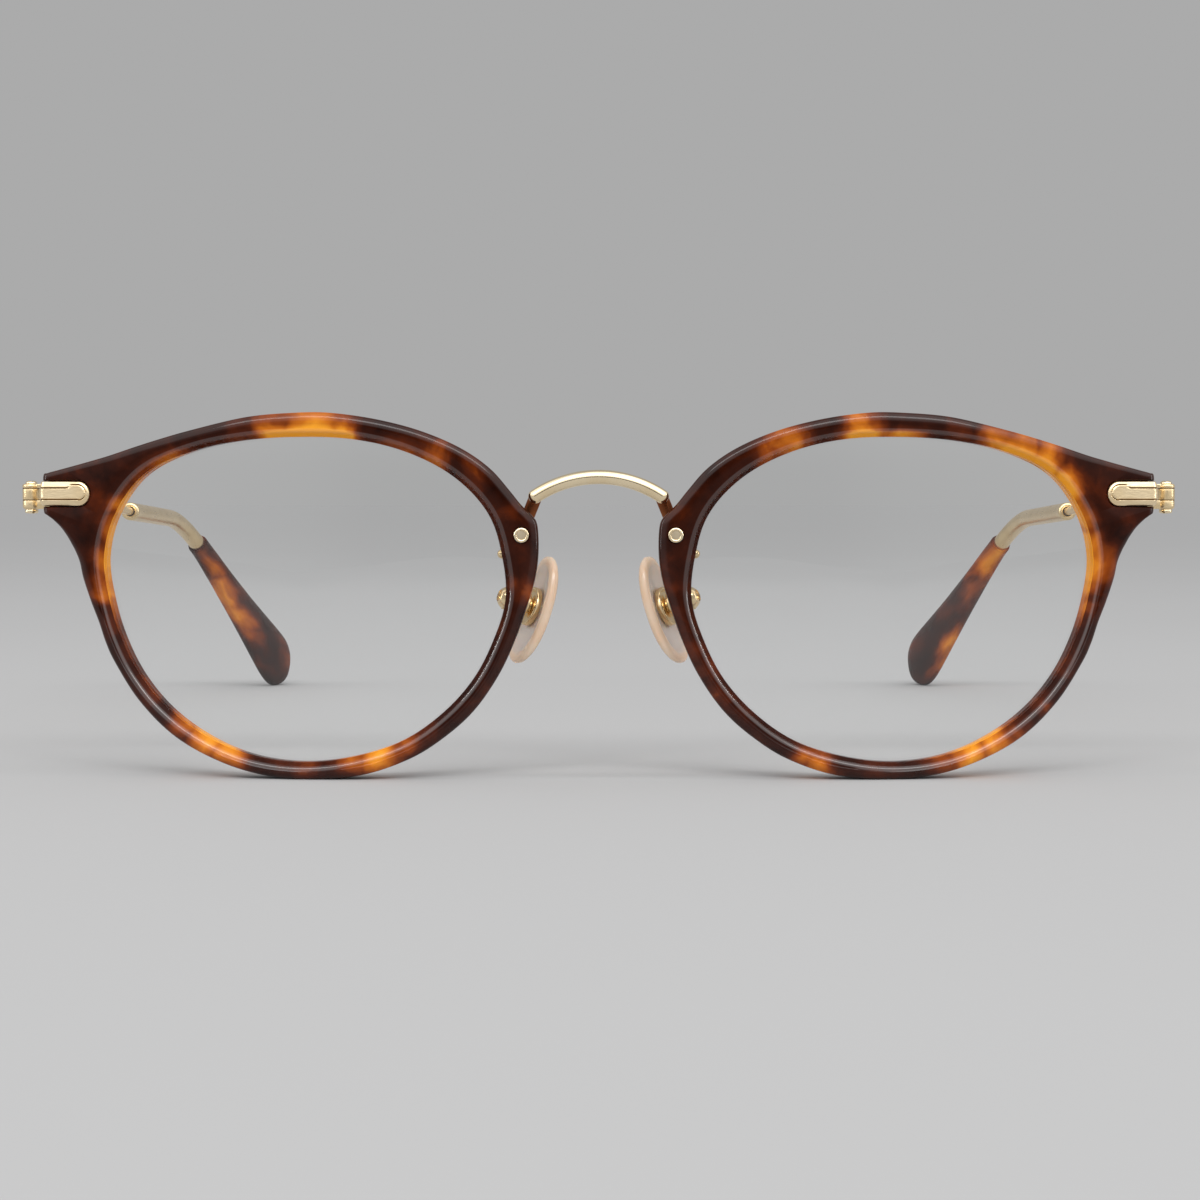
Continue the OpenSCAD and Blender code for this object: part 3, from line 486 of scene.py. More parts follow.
def build_pad(side, name):
    """A soft egg-shaped pad, bowed back at its ends; its rounded rim is kept as an attribute."""
    n, egg, full = 96, 0.06, 0.8
    prof = [(0.02, 0.16, 0), (0.36, 0.16, 0), (0.6, 0.14, 0), (0.74, 0.1, 0), (0.81, 0.05, 0.2),
            (0.86, 0.01, 0.8), (0.91, 0.03, 1), (0.955, 0.1, 1), (0.985, 0.22, 1), (1.0, 0.38, 1),
            (1.0, 0.5, 1), (0.985, 0.64, 1), (0.95, 0.77, 1), (0.9, 0.87, 0.9), (0.82, 0.94, 0.5),
            (0.7, 0.98, 0.2), (0.5, 1.03, 0), (0.25, 1.06, 0), (0.02, 1.07, 0)]
    around = [[math.copysign(abs(v) ** full, v) for v in (math.cos(a), math.sin(a))]
              for a in circle(n, -1)]
    rings = [[PAD @ Vector((PAD_L / 2 * c * share + PAD_LOW, PAD_W / 2 * q * (1 + egg * c) * share,
                            SEAT + PAD_T * h - PAD_BOW * (c * share) ** 2)) for c, q in around]
             for share, h, _ in prof]
    obj = make(name, *rings_mesh(rings), side=side, sharp=60)
    give(obj, "band", [float(b) for _, _, b in prof for _ in range(n)])
    return obj


# Endpieces, hinges, bridge and rivets ------------------------------------------

ARM_BEND = 1.1


def arm_path():
    """Stations of the endpiece: place in mm, direction, half height, distance past the wing's end."""
    r, bend = PLAQUE_H / 2, ARM_BEND
    stations = []
    for i in range(15):
        t = math.radians(4 + 86 * i / 14)
        stations.append((-PLAQUE_L + r - r * math.cos(t), r * math.sin(t)))
    first = FACE_FORM + WING_END / BEND_R
    end = -(bend * (1 - math.sin(first)) - PROUD + PROUD * math.sin(first)) / math.cos(first)
    stations += [(-PLAQUE_L + r + (end + PLAQUE_L - r) * i / 24, r) for i in range(1, 25)]
    path = []
    for u, hh in stations:
        p = sheet(WING_END + u, WING_Z, -PROUD) / MM
        path.append((p[0], p[1], FACE_FORM + (WING_END + u) / BEND_R, hh, u))
    x, y, a = path[-1][:3]
    cx, cy = x - bend * math.sin(a), y + bend * math.cos(a)
    for i in range(1, 13):
        t = between(a, math.pi / 2, i / 12)
        path.append((cx + bend * math.sin(t), cy - bend * math.cos(t), t, r, end + 0.1 * i))
    back = HINGE_Y - MID_Y - KNUCKLE_R * 1.2
    for i in range(1, 7):
        path.append((ARM_X, between(cy, back, i / 6), math.pi / 2, r, end + 1.2 + i))
    return path


def shade_grooves(obj, indices, other):
    """Painted shade in the grooves between the knuckles, as material 2, a dark gold; the rest of the
    given faces gets the other material.
    """
    for k in indices:
        p = obj.data.polygons[k]
        z = p.center[2] / MM
        near = min(abs(z - MIDDLE_LOW), abs(z - MIDDLE_HIGH)) < 0.065
        round_side = math.hypot(abs(p.center[0]) / MM - HINGE_X, p.center[1] / MM - HINGE_Y + MID_Y)
        p.material_index = 2 if near and KNUCKLE_R - 0.13 < round_side < KNUCKLE_R + 0.05 else other


def prism(points, low, high, soft=0.06):
    """An upright prism with its ends' edges rounded off, from points in the front's frame."""
    cx, cy = (sum(p[i] for p in points) / len(points) for i in (0, 1))
    ends = ((low, 0.9), (low + soft, 1.0), (high - soft, 1.0), (high, 0.9))
    return rings_mesh([[Vector((cx + (x - cx) * k, cy + (y - cy) * k - MID_Y, z)) * MM
                        for x, y in points] for z, k in ends])


def block(x0, x1, y0, y1, low, high):
    return prism([(x0, y0), (x1, y0), (x1, y1), (x0, y1)], low + 0.05, high - 0.05)


def plaque_inset(e, turn_in, inner, z):
    """How far the plaque's face lies behind its front at a distance from its outline, and whether the
    point lies on a groove line that gets painted shade.
    """
    side_w = between(0.8, 0.4, inner) if z > 0 else 0.8
    w = between(side_w, 0.42, turn_in)
    inset = 0.25 * clamp(1 - e / w) + 0.16 * math.exp(-((e - w) / 0.07) ** 2)
    inset += 0.12 * max(1 - e / 0.1, 0) ** 2
    if z < 0:
        inset += (1 - inner) * 0.22 * max(1 - e / 0.35, 0) ** 2
    return inset, abs(e - w) < 0.09 and turn_in < 0.9


def build_endpiece(side, name):
    """The grooved plaque that turns back along the wing's end, the webs and the outer knuckles."""
    r, rows = PLAQUE_H / 2, 84
    mid_z, step_at = EYE_Z + WING_Z, -PLAQUE_L + r + 1.25
    rings, shaded_lines = [], []
    for x, y, a, hh, u in arm_path():
        along = max(-PLAQUE_L + r - u, 0)
        inner = clamp((step_at - u) / 0.45)
        inner = inner * inner * (3 - 2 * inner)
        ring = []
        for i in range(rows + 1):
            z = hh * math.sin((1 - 2 * i / rows) * math.pi / 2)
            e = r - math.hypot(along, z) if along else hh - abs(z)
            turn_in = abs(math.atan2(along, abs(z) + 0.001)) / (math.pi / 2)
            inset, in_shaded_line = plaque_inset(e, turn_in, inner, z)
            shaded_lines.append(in_shaded_line)
            ring.append((x - inset * math.sin(a), y + inset * math.cos(a), mid_z + z))
        shaded_lines += [False, False]
        ring += [(x - ARM_T * math.sin(a), y + ARM_T * math.cos(a), mid_z + z) for z in (-hh, hh)]
        rings.append([Vector(p) * MM for p in ring])
    parts = [rings_mesh(rings)]
    arm_faces = len(parts[0][1])
    ends = (BARREL_LOW, MIDDLE_LOW - KNUCKLE_GAP), (MIDDLE_HIGH + KNUCKLE_GAP, BARREL_HIGH)
    low, high = ends[0]
    parts.append(knuckle(low, high, SCREW_R + 0.03, [
        (0.72, low), (0.88, low + 0.03), (1.0, low + 0.12), (1.07, low + 0.27), (KNUCKLE_R, low + 0.42)],
        crisp(high, -1)[::-1]))
    low, high = ends[1]
    parts.append(knuckle(low, high, SCREW_R + 0.03, crisp(low, 1), [
        (KNUCKLE_R, high - 0.26), (1.07, high - 0.17), (1.01, high - 0.07), (0.92, high - 0.02),
        (0.8, high)]))
    for low, high in ends:
        parts.append(block(ARM_X - ARM_T, ARM_X - 0.02, HINGE_Y - KNUCKLE_R * 1.3,
                           HINGE_Y - KNUCKLE_R * 0.1, low, high))
        parts.append(block(ARM_X - ARM_T * 0.6, HINGE_X - KNUCKLE_R * 0.5, HINGE_Y - KNUCKLE_R * 0.6,
                           HINGE_Y - 0.04, low, high))
    obj = make(name, *together(parts), side=side, sharp=32)
    shade_grooves(obj, range(arm_faces, len(obj.data.polygons)), 1)
    # The plaque's groove lines get material 2, painted shade in the grooves
    for p in obj.data.polygons:
        if p.index < arm_faces:
            p.material_index = 2 if len(p.vertices) == 4 and all(shaded_lines[v] for v in p.vertices) else 0
    return obj


ARCH_HALF = math.radians(34)
ARCH_X = NOSE_W / 2 - 3.45
ARCH_R = ARCH_X / math.sin(ARCH_HALF)
ARCH_TOP = 14.96
ARCH_END_Z = ARCH_TOP - ARCH_R * (1 - math.cos(ARCH_HALF))
ARCH_Y, FOOT_D, FOOT_T, FOOT_W = 1.2, RIM_T + SEAT, 0.9, 1.65
PEG_AT = (-OPENING_W / 2 - 0.75, 5.5)


def sheet_place(x, d):
    """The distance along the bent front that lies at x from the middle, d behind it."""
    return (math.asin((x - EYE_X + BEND_R * math.sin(FACE_FORM)) / (BEND_R - d)) - FACE_FORM) * BEND_R


def foot_bar(a, b, w=FOOT_W, soft=0.12, n=12):
    """A flat bar with round ends and soft edges, behind the rim."""
    pa, pb = Vector(a), Vector(b)
    turned = math.atan2(pb[1] - pa[1], pb[0] - pa[0])
    ends = [(c, turned + math.radians(start + 180 * i / n)) for c, start in ((pb, -90), (pa, 90))
            for i in range(n + 1)]
    rings = []
    for shrink, back in ((soft, 0.0), (0.03, 0.03), (0.0, soft), (0.0, FOOT_T - soft),
                         (0.03, FOOT_T - 0.03), (soft, FOOT_T)):
        r = w / 2 - shrink
        rings.append([sheet(c[0] + r * math.cos(t), c[1] + r * math.sin(t), FOOT_D + back)
                      for c, t in ends])
    return rings_mesh(rings)


def lug_outline(r=0.85, reach=1.9, foot=0.5):
    """The upright ear behind the foot that the pad arm's peg goes through."""
    return ([(foot, -r)] + [(reach + r * math.sin(t), -r * math.cos(t))
                            for t in (math.pi * i / 16 for i in range(17))] + [(foot, r)])


def build_bridge(name):
    """The arch with its round ends, the wires that run back, the feet and their lugs."""
    r, n, steps = BRIDGE_D / 2, 12, 96
    centre = Vector((0, ARCH_Y - MID_Y, EYE_Z + ARCH_TOP - ARCH_R))
    turns = [math.radians(3 + 87 * i / n) for i in range(n + 1)]
    end = [(ARCH_HALF + r * 0.9 * math.cos(t) / ARCH_R, r * math.sin(t)) for t in turns]
    rings = [(-a, q) for a, q in end]
    rings += [(-ARCH_HALF + ARCH_HALF * 2 * i / steps, r) for i in range(1, steps)] + end[::-1]
    skin = [[(centre + Vector((math.sin(a) * (ARCH_R + q * math.cos(b)), q * math.sin(b),
                               math.cos(a) * (ARCH_R + q * math.cos(b))))) * MM for b in circle(40)]
            for a, q in rings]
    parts = [rings_mesh(skin)]
    arch_faces = len(parts[0][1])
    top, lug_s = (sheet_place(ARCH_X, FOOT_D + FOOT_T / 2), ARCH_END_Z), PEG_AT[0] + 0.35
    m = sheet_frame(lug_s, PEG_AT[1], FOOT_D)
    lug = [[m @ Vector((x, y, z)) for y, z in lug_outline()] for x in (-0.35, 0.35)]
    bars = [foot_bar(top, RIVET), foot_bar(RIVET, (lug_s, PEG_AT[1])), foot_bar(RIVET, RIVET, 2.7),
            rings_mesh(lug)]
    back, wire_r = FOOT_D + FOOT_T - ARCH_Y, STRAP_D / 2
    for side in (1, -1):
        place = (Matrix.Translation(Vector((ARCH_X * side, ARCH_Y - MID_Y, EYE_Z + ARCH_END_Z)) * MM)
                 @ Matrix.Rotation(-math.pi / 2, 4, "X") @ Matrix.Scale(MM, 4))
        parts.append(lathe([(wire_r, 0.2), (wire_r, 1.5), (wire_r, back - 0.15), (wire_r - 0.15, back)],
                           place, 40))
        parts += [(mirrored(v, side), f if side > 0 else [tuple(reversed(q)) for q in f])
                  for v, f in bars]
    obj = make(name, *together(parts), sharp=40)
    # All but the arch get the second material, with painted shade and a painted reflection of the acetate
    for p in obj.data.polygons:
        p.material_index = 0 if p.index < arch_faces else 1
    return obj


def slot_cutter(z0, z1, turned, half=2.0, wide=0.13):
    m = HINGE @ Matrix.Rotation(math.radians(turned), 4, "Z")
    ring = [(-half, -wide), (half, -wide), (half, wide), (-half, wide)]
    return make("slot_cut", *rings_mesh([[m @ Vector((x, y, z)) for x, y in ring] for z in (z0, z1)]))


def turn_over(obj, side):
    """Mirrors a finished piece to the other side."""
    if side < 0:
        obj.data.transform(Matrix.Scale(-1, 4, (1, 0, 0)))
        obj.data.flip_normals()
    soften(obj, 35)
    return obj


def build_hinge_screw(side, name):
    top, tip = BARREL_HIGH + 0.41, BARREL_LOW - 0.54
    prof = [(0.05, top), (0.3, top - 0.015), (0.5, top - 0.06), (0.63, top - 0.14), (0.71, top - 0.25),
            (0.73, top - 0.34), (0.7, top - 0.38), (SCREW_R, top - 0.38), (SCREW_R, tip + 0.04),
            (SCREW_R - 0.08, tip), (0.05, tip)]
    obj = make(name, *lathe(prof, HINGE))
    cut(obj, [slot_cutter(top - 0.19, top + 1, 64)])
    return turn_over(obj, side)


def build_nut(side, name):
    low, high = BARREL_LOW - 0.51, BARREL_LOW - 0.03
    prof = [(SCREW_R + 0.04, low + 0.02), (0.62, low), (0.74, low + 0.05), (0.81, low + 0.14),
            (0.82, low + 0.22), (0.82, high - 0.06), (0.78, high), (SCREW_R + 0.04, high)]
    obj = make(name, *lathe(prof, HINGE, closed=True))
    cut(obj, [slot_cutter(low - 1, low + 0.2, 60)])
    return turn_over(obj, side)


def build_rivet(side, name):
    """A domed ring with a dull, sunk disc in its middle, and the head behind the foot."""
    m = sheet_frame(*RIVET) @ Matrix.Rotation(math.pi / 2, 4, "X")
    r, hole, back = RIVET_R, 0.56, -(FOOT_D + FOOT_T)
    ring = [(hole, 0.06), (0.58, 0.15), (0.63, 0.2), (0.72, 0.22), (0.82, 0.2), (0.9, 0.13), (r, 0.02),
            (r, -0.19), (hole, -0.19)]
    disc = [(0.01, 0.1), (0.2, 0.1), (0.4, 0.1), (0.57, 0.09), (0.57, -0.15), (0.01, -0.15)]
    tail = [(0.05, back - 0.33), (0.5, back - 0.31), (0.78, back - 0.24), (0.93, back - 0.12),
            (r, back - 0.03), (0.05, back - 0.03)]
    obj = make(name, *together([lathe(ring, m, closed=True), lathe(disc, m), lathe(tail, m)]), side=side)
    for p in obj.data.polygons:
        c = m.inverted() @ Vector((p.center[0] * side, p.center[1], p.center[2]))
        p.material_index = 1 if math.hypot(c[0], c[1]) < hole and c[2] > -0.5 else 0
    return obj


# Materials -------------------------------------------------------------------

def connect(nt, socket, value):
    """Links an output to a socket, or sets the socket to a plain value."""
    if hasattr(value, "is_output"):
        nt.links.new(value, socket)
    else:
        socket.default_value = value


def set_inputs(nt, n, values):
    for name, value in values.items():
        connect(nt, n.inputs[name], value)
    return n


def node(nt, kind, values):
    return set_inputs(nt, nt.nodes.new(kind), values)


def material(name):
    m = bpy.data.materials.new(name)
    m.use_nodes = True
    nt = m.node_tree
    return m, nt, next(n for n in nt.nodes if n.type == "BSDF_PRINCIPLED")


def surface(nt, shader):
    """Makes a shader what the material shows."""
    out = next(n for n in nt.nodes if n.type == "OUTPUT_MATERIAL")
    nt.links.new(shader, out.inputs["Surface"])


def noise(nt, place, scale, detail=2.0, rough=0.5):
    return node(nt, "ShaderNodeTexNoise",
                {"Vector": place, "Scale": scale, "Detail": detail, "Roughness": rough}).outputs


def attribute(nt, name):
    """A value that give() keeps at each point."""
    n = nt.nodes.new("ShaderNodeAttribute")
    n.attribute_name = name
    return n.outputs["Fac"]


def bump(nt, height, strength, distance):
    return node(nt, "ShaderNodeBump",
                {"Strength": strength, "Distance": distance, "Height": height}).outputs["Normal"]


def ramp(nt, source, stops, mode="EASE"):
    r = node(nt, "ShaderNodeValToRGB", {"Fac": source})
    r.color_ramp.interpolation = mode
    while len(r.color_ramp.elements) < len(stops):
        r.color_ramp.elements.new(0.5)
    for e, (at, colour) in zip(r.color_ramp.elements, stops):
        e.position = at
        e.color = (*colour, 1)
    return r.outputs["Color"]


def mix(nt, fac, a, b):
    m = nt.nodes.new("ShaderNodeMix")
    m.data_type = "RGBA"
    for i, value in ((0, fac), (6, a), (7, b)):
        connect(nt, m.inputs[i], (*value, 1) if isinstance(value, tuple) else value)
    return m.outputs[2]


def operation(nt, kind, op, values):
    m = nt.nodes.new(kind)
    m.operation = op
    for socket, value in zip(m.inputs, values):
        connect(nt, socket, value)
    return m.outputs


def math_node(nt, op, *values):
    return operation(nt, "ShaderNodeMath", op, values)[0]


def vector_math(nt, op, *values):
    return operation(nt, "ShaderNodeVectorMath", op,
                     values)["Value" if op in ("DOT_PRODUCT", "DISTANCE") else "Vector"]


def object_place(nt):
    return nt.nodes.new("ShaderNodeTexCoord").outputs["Object"]


def mirrored_place(nt):
    """Object coordinates with x taken as its size, so that both halves are dressed alike."""
    x, y, z = node(nt, "ShaderNodeSeparateXYZ", {"Vector": object_place(nt)}).outputs
    x = math_node(nt, "ABSOLUTE", x)
    return node(nt, "ShaderNodeCombineXYZ", {"X": x, "Y": y, "Z": z}).outputs[0]


# Amber patches seen in the acetate: x and z in millimetres, reach and strength
RIGHT_PATCHES = [
    (-39.5, 42.5, 5, 0.8), (-35.5, 42.5, 6, 1), (-32, 42, 5, 0.8), (-24.5, 40, 4, 0.5),
    (-20.5, 39, 5, 0.55), (-15.5, 36.5, 4, 0.3), (-11.5, 32.5, 4, 0.25), (-9, 23, 3, 0.6),
    (-10.5, 24, 2, 0.4), (-62, 26.5, 3.5, 0.4), (-61.5, 23.5, 4, 0.6), (-59.5, 30.5, 3, 0.4),
    (-61.5, 34.5, 4, 0.3), (-58.5, 33.5, 3, 0.35), (-51, 6.5, 4, 0.7), (-48.5, 4.5, 5, 1),
    (-46, 3, 4, 0.8), (-30, 1.5, 4, 0.7), (-26.5, 2.5, 5, 1), (-24, 4, 3.5, 0.6), (-36, 0.5, 4, 0.3),
    (-53.5, 39.5, 4, 0.3), (-43.5, 42.5, 4, 0.35), (-59, 17, 3, 0.2), (-55, 11, 3, 0.25),
    (-14.5, 37.5, 3, 0.4)]
LEFT_PATCHES = [
    (20, 39.5, 4, 0.55), (22.5, 40.5, 4.5, 0.85), (24.5, 41.5, 3.5, 0.5), (32, 43, 5, 0.7),
    (44, 42.5, 4, 0.3), (49, 41.5, 4.5, 0.7), (51.5, 40.5, 5, 1), (54.5, 39, 5.5, 1), (58, 36, 5, 0.85),
    (59.5, 32.5, 3.5, 0.6), (60.5, 28.5, 3.5, 0.5), (61.5, 26, 4.5, 0.7), (63.5, 25, 3, 0.4),
    (6.5, 33.5, 4, 0.3), (9, 23, 3, 0.4), (11, 17, 4, 0.35), (12.5, 13.5, 4, 0.3), (14, 10, 4, 0.3),
    (19.5, 4.5, 3, 0.25), (24, 2.5, 4, 0.7), (26, 1.5, 4.5, 0.95), (28.5, 1, 3, 0.4), (42, 1.5, 4, 0.6),
    (45, 2.5, 5, 1), (48.5, 4, 5, 1), (51.5, 5.5, 4, 0.6), (55.5, 8, 3, 0.3), (64.5, 35.5, 3, 0.2),
    (37, 43, 3, 0.2)]
TIP_PATCHES = {
    -1: [(-70, 28.5, 6, 0.6), (-67.6, 22.5, 7, 0.75), (-66, 17.8, 7, 1.0), (-64.6, 14, 7, 0.95),
         (-63, 10, 6, 0.55), (-57.4, 9, 6, 0.5), (-57.6, 4, 5, 0.45), (-61.5, 4.5, 5, 0.3)],
    1: [(70, 28.5, 5, 0.45), (68, 23.5, 8, 0.95), (66.3, 18.5, 7, 0.6), (62.5, 14.5, 5, 0.3),
        (64, 8.5, 8, 0.95), (62.6, 4, 6, 0.65), (58.5, 8, 5, 0.35)]}
# Painted glow, standing in for light through the polished inner bevel: on the side of the temple and, in
# places, along the top
PAINTED_BEVEL_GLOW = [(57.4, 34.1, 8, 1.0), (61, 28, 7, 1.0), (61.8, 21, 6, 0.8), (60, 14, 5, 0.45),
                 (53, 39, 6, 0.7), (37, 42.2, 5, 0.9), (32, 42, 5, 0.9), (48, 4.2, 4, 0.3)]
# The tips' patches are drawn out along the tip
TIP_LINE, TIP_STRETCH = (0.41, -0.91), 2.1
FLATTEN = (1.0, 0.0, 1.0)
PATCH_BLEND = 0.12
WARP = 0.005
# Colour of the acetate, from its darkest cloud to the heart of a patch
ACETATE = [(0.0, (0.01, 0.002, 0.001)), (0.2, (0.034, 0.006, 0.002)), (0.36, (0.085, 0.014, 0.003)),
           (0.54, (0.28, 0.055, 0.006)), (0.75, (0.62, 0.17, 0.012)), (1.0, (1.0, 0.4, 0.03))]


def in_plane(patches):
    return [((x, 0.0, z), reach, strength) for x, z, reach, strength in patches]


def patch_sum(nt, place, patches):
    total = None
    for at, reach, strength in patches:
        away = vector_math(nt, "DISTANCE", place, [v * MM for v in at])
        m = node(nt, "ShaderNodeMapRange", {"Value": away, "From Min": 0.0, "From Max": reach * MM,
                                            "To Min": strength, "To Max": 0.0})
        m.interpolation_type = "SMOOTHSTEP"
        patch = m.outputs["Result"]
        total = patch if total is None else math_node(nt, "SMOOTH_MAX", total, patch, PATCH_BLEND)
    return total


def tortoise(name, patches, flat, side=1):
    """Acetate: amber patches that run through the sheet, clouded edges, and painted glow that brightens
    the polished bevels and edges, standing in for light through the acetate.
    """
    m, nt, bsdf = material(name)
    here = object_place(nt)
    if flat:
        place = vector_math(nt, "MULTIPLY", here, FLATTEN)
        patches = in_plane(patches)
    else:
        along = (TIP_LINE[0] * side, 0.0, TIP_LINE[1])
        across = (TIP_LINE[1] * -TIP_STRETCH, 0.0, TIP_LINE[0] * side * TIP_STRETCH)
        place = node(nt, "ShaderNodeCombineXYZ", {
            "X": vector_math(nt, "DOT_PRODUCT", here, along),
            "Y": vector_math(nt, "DOT_PRODUCT", here, across)}).outputs[0]
        patches = [((x * along[0] + z * along[2], x * across[0] + z * across[2], 0.0), reach, strength)
                   for x, z, reach, strength in patches]
    warp = noise(nt, here, 140.0, 2.0, 0.45)["Color"]
    centred = vector_math(nt, "SUBTRACT", warp, (0.5, 0.5, 0.5))
    shift = vector_math(nt, "MULTIPLY_ADD", centred, (WARP, WARP, WARP), place)
    total = patch_sum(nt, shift, patches)
    bevel = patch_sum(nt, vector_math(nt, "MULTIPLY", mirrored_place(nt), FLATTEN),
                      in_plane(PAINTED_BEVEL_GLOW))
    # Painted glow: colour pushed brighter at the bevels and edges, more in the amber patches, standing in
    # for light shining through the acetate
    through = math_node(nt, "MULTIPLY_ADD", total, 0.22, 0.06)
    painted_glow_lift = math_node(nt, "MULTIPLY", attribute(nt, "painted_glow"),
                     math_node(nt, "MULTIPLY_ADD", bevel, 0.7, through))
    cloud = math_node(nt, "MULTIPLY_ADD", noise(nt, shift, 260.0, 3.0, 0.55)["Fac"], 0.66, -0.24)
    fine = math_node(nt, "MULTIPLY_ADD", noise(nt, shift, 900.0, 3.0, 0.6)["Fac"], 0.08, -0.04)
    amount = math_node(nt, "ADD", math_node(nt, "MULTIPLY_ADD", total, 0.78, cloud), fine)
    amount = math_node(nt, "ADD", amount, painted_glow_lift)
    shine = math_node(nt, "MULTIPLY_ADD", attribute(nt, "polish"), 0.8, 0.09) if flat else 0.04
    set_inputs(nt, bsdf, {
        "Base Color": ramp(nt, amount, ACETATE, "LINEAR"), "Roughness": 0.1 if flat else 0.25,
        "IOR": 1.49, "Specular IOR Level": shine,
        "Normal": bump(nt, noise(nt, here, 500.0)["Fac"], 0.03, 0.0002)})
    return m


def metal(name, colour, dark, rough, brushed=None, strength=0.02):
    """Cloudy metal; brushed gives the stretch of its fine marks, strength how deep they are."""
    m, nt, bsdf = material(name)
    place = mirrored_place(nt)
    tone = noise(nt, place, 260.0, 3.0)["Fac"]
    if brushed:
        place = node(nt, "ShaderNodeMapping", {"Vector": place, "Scale": brushed}).outputs[0]
    fine = noise(nt, place, 4500.0 if brushed else 2600.0)["Fac"]
    rough = node(nt, "ShaderNodeMapRange",
                 {"Value": fine, "To Min": rough * 0.75, "To Max": rough * 1.25}).outputs["Result"]
    set_inputs(nt, bsdf, {
        "Base Color": ramp(nt, tone, [(0.3, dark), (0.7, colour)]), "Metallic": 1.0,
        "Roughness": rough, "Normal": bump(nt, fine, strength, 0.00003)})
    return m


def lens_material():
    """Clear glass with a weak reflection, which lets the soft light through."""
    m, nt, bsdf = material("clear_lens")
    tint = ramp(nt, noise(nt, mirrored_place(nt), 60.0, 1.0)["Fac"],
                [(0.0, (0.985, 0.992, 0.99)), (1.0, (0.995, 0.998, 0.998))])
    set_inputs(nt, bsdf, {"Base Color": tint, "Roughness": 0.0, "IOR": 1.5,
                          "Specular IOR Level": 0.06, "Transmission Weight": 1.0})
    path = nt.nodes.new("ShaderNodeLightPath").outputs
    clear = nt.nodes.new("ShaderNodeBsdfTransparent")
    both = nt.nodes.new("ShaderNodeMixShader")
    through = math_node(nt, "MAXIMUM", path["Is Shadow Ray"], path["Is Diffuse Ray"])
    for socket, value in zip(both.inputs, (through, bsdf.outputs[0], clear.outputs[0])):
        nt.links.new(value, socket)
    surface(nt, both.outputs[0])
    return m


def edge_material():
    """The lens edge in its groove: it shows the acetate round it rather than the room."""
    m, nt, _ = material("lens_edge")
    tint = ramp(nt, noise(nt, mirrored_place(nt), 400.0, 1.0)["Fac"],
                [(0.0, (0.93, 0.94, 0.94)), (1.0, (0.98, 0.99, 0.99))])
    surface(nt, node(nt, "ShaderNodeBsdfTransparent", {"Color": tint}).outputs[0])
    return m


def pad_material():
    """Silicone: pale and see-through in the middle, peach where the rounded rim is thick."""
    m, nt, bsdf = material("pad_silicone")
    cloud, band = noise(nt, mirrored_place(nt), 220.0)["Fac"], attribute(nt, "band")
    pale = ramp(nt, cloud, [(0.3, (0.93, 0.8, 0.72)), (0.7, (0.96, 0.85, 0.78))])
    peach = ramp(nt, cloud, [(0.3, (0.98, 0.66, 0.46)), (0.7, (1.0, 0.75, 0.57))])
    set_inputs(nt, bsdf, {
        "Base Color": mix(nt, band, pale, peach), "Roughness": 0.22, "IOR": 1.42,
        "Transmission Weight": math_node(nt, "MULTIPLY_ADD", band, -0.33, 0.43),
        "Subsurface Weight": 0.25, "Subsurface Radius": (0.003, 0.002, 0.0015),
        "Subsurface Scale": 1.0, "Coat Weight": 0.4, "Coat Roughness": 0.08})
    return m


RIM_PAINT = {1: tortoise("tortoise_left", LEFT_PATCHES, True),
             -1: tortoise("tortoise_right", RIGHT_PATCHES, True)}
TIP_PAINT = {side: tortoise("tortoise_tip_" + word, TIP_PATCHES[side], False, -side)
             for side, word in ((1, "left"), (-1, "right"))}
ACROSS, ROUND = (0.04, 1.0, 1.0), (1.0, 0.05, 1.0)
GOLD = metal("pale_gold", (0.95, 0.8, 0.55), (0.9, 0.73, 0.47), 0.16)
DEEP = metal("deep_gold", (0.86, 0.66, 0.38), (0.76, 0.55, 0.29), 0.15)
BRUSHED = metal("brushed_gold", (0.95, 0.77, 0.5), (0.88, 0.69, 0.42), 0.32, ACROSS, 0.8)
SATIN = metal("satin_gold", (0.88, 0.7, 0.43), (0.8, 0.62, 0.36), 0.33, ROUND)
SLEEVE = metal("sleeve_gold", (0.8, 0.62, 0.36), (0.72, 0.54, 0.29), 0.3, ROUND)
# Dark reddish gold painted on the wires, feet and lugs behind the rim, as shade and a reflection of the
# acetate
STRAP_SHADE = metal("strap_painted_shade", (0.26, 0.09, 0.035), (0.17, 0.05, 0.02), 0.22)
# Dark gold painted as the shade in the grooves between the knuckles and along the plaque's lines
GROOVE_SHADE = metal("painted_groove_shade", (0.34, 0.22, 0.1), (0.22, 0.13, 0.05), 0.35)
DULL = metal("dull_gold", (0.62, 0.52, 0.37), (0.46, 0.38, 0.26), 0.45)
LENS = lens_material()
LENS_EDGE = edge_material()
PAD_PAINT = pad_material()


# Assembly --------------------------------------------------------------------

def show(obj, body, slot, node_name, *mats):
    for m in mats:
        obj.data.materials.append(m)
    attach(obj, body)
    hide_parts(node_name)


def finish_metal(name, mat):
    """A CAD metal node: welded, its edges rounded a little, and repainted."""
    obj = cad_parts[name]
    for s in obj.material_slots:
        s.material = mat
    if not obj.material_slots:
        obj.data.materials.append(mat)
    w = obj.modifiers.new("weld", "WELD")
    w.merge_threshold = 0.002 * MM
    b = obj.modifiers.new("edges", "BEVEL")
    b.width, b.segments = 0.04 * MM, 2
    b.limit_method, b.angle_limit = "ANGLE", math.radians(40)
    for p in obj.data.polygons:
        p.use_smooth = True


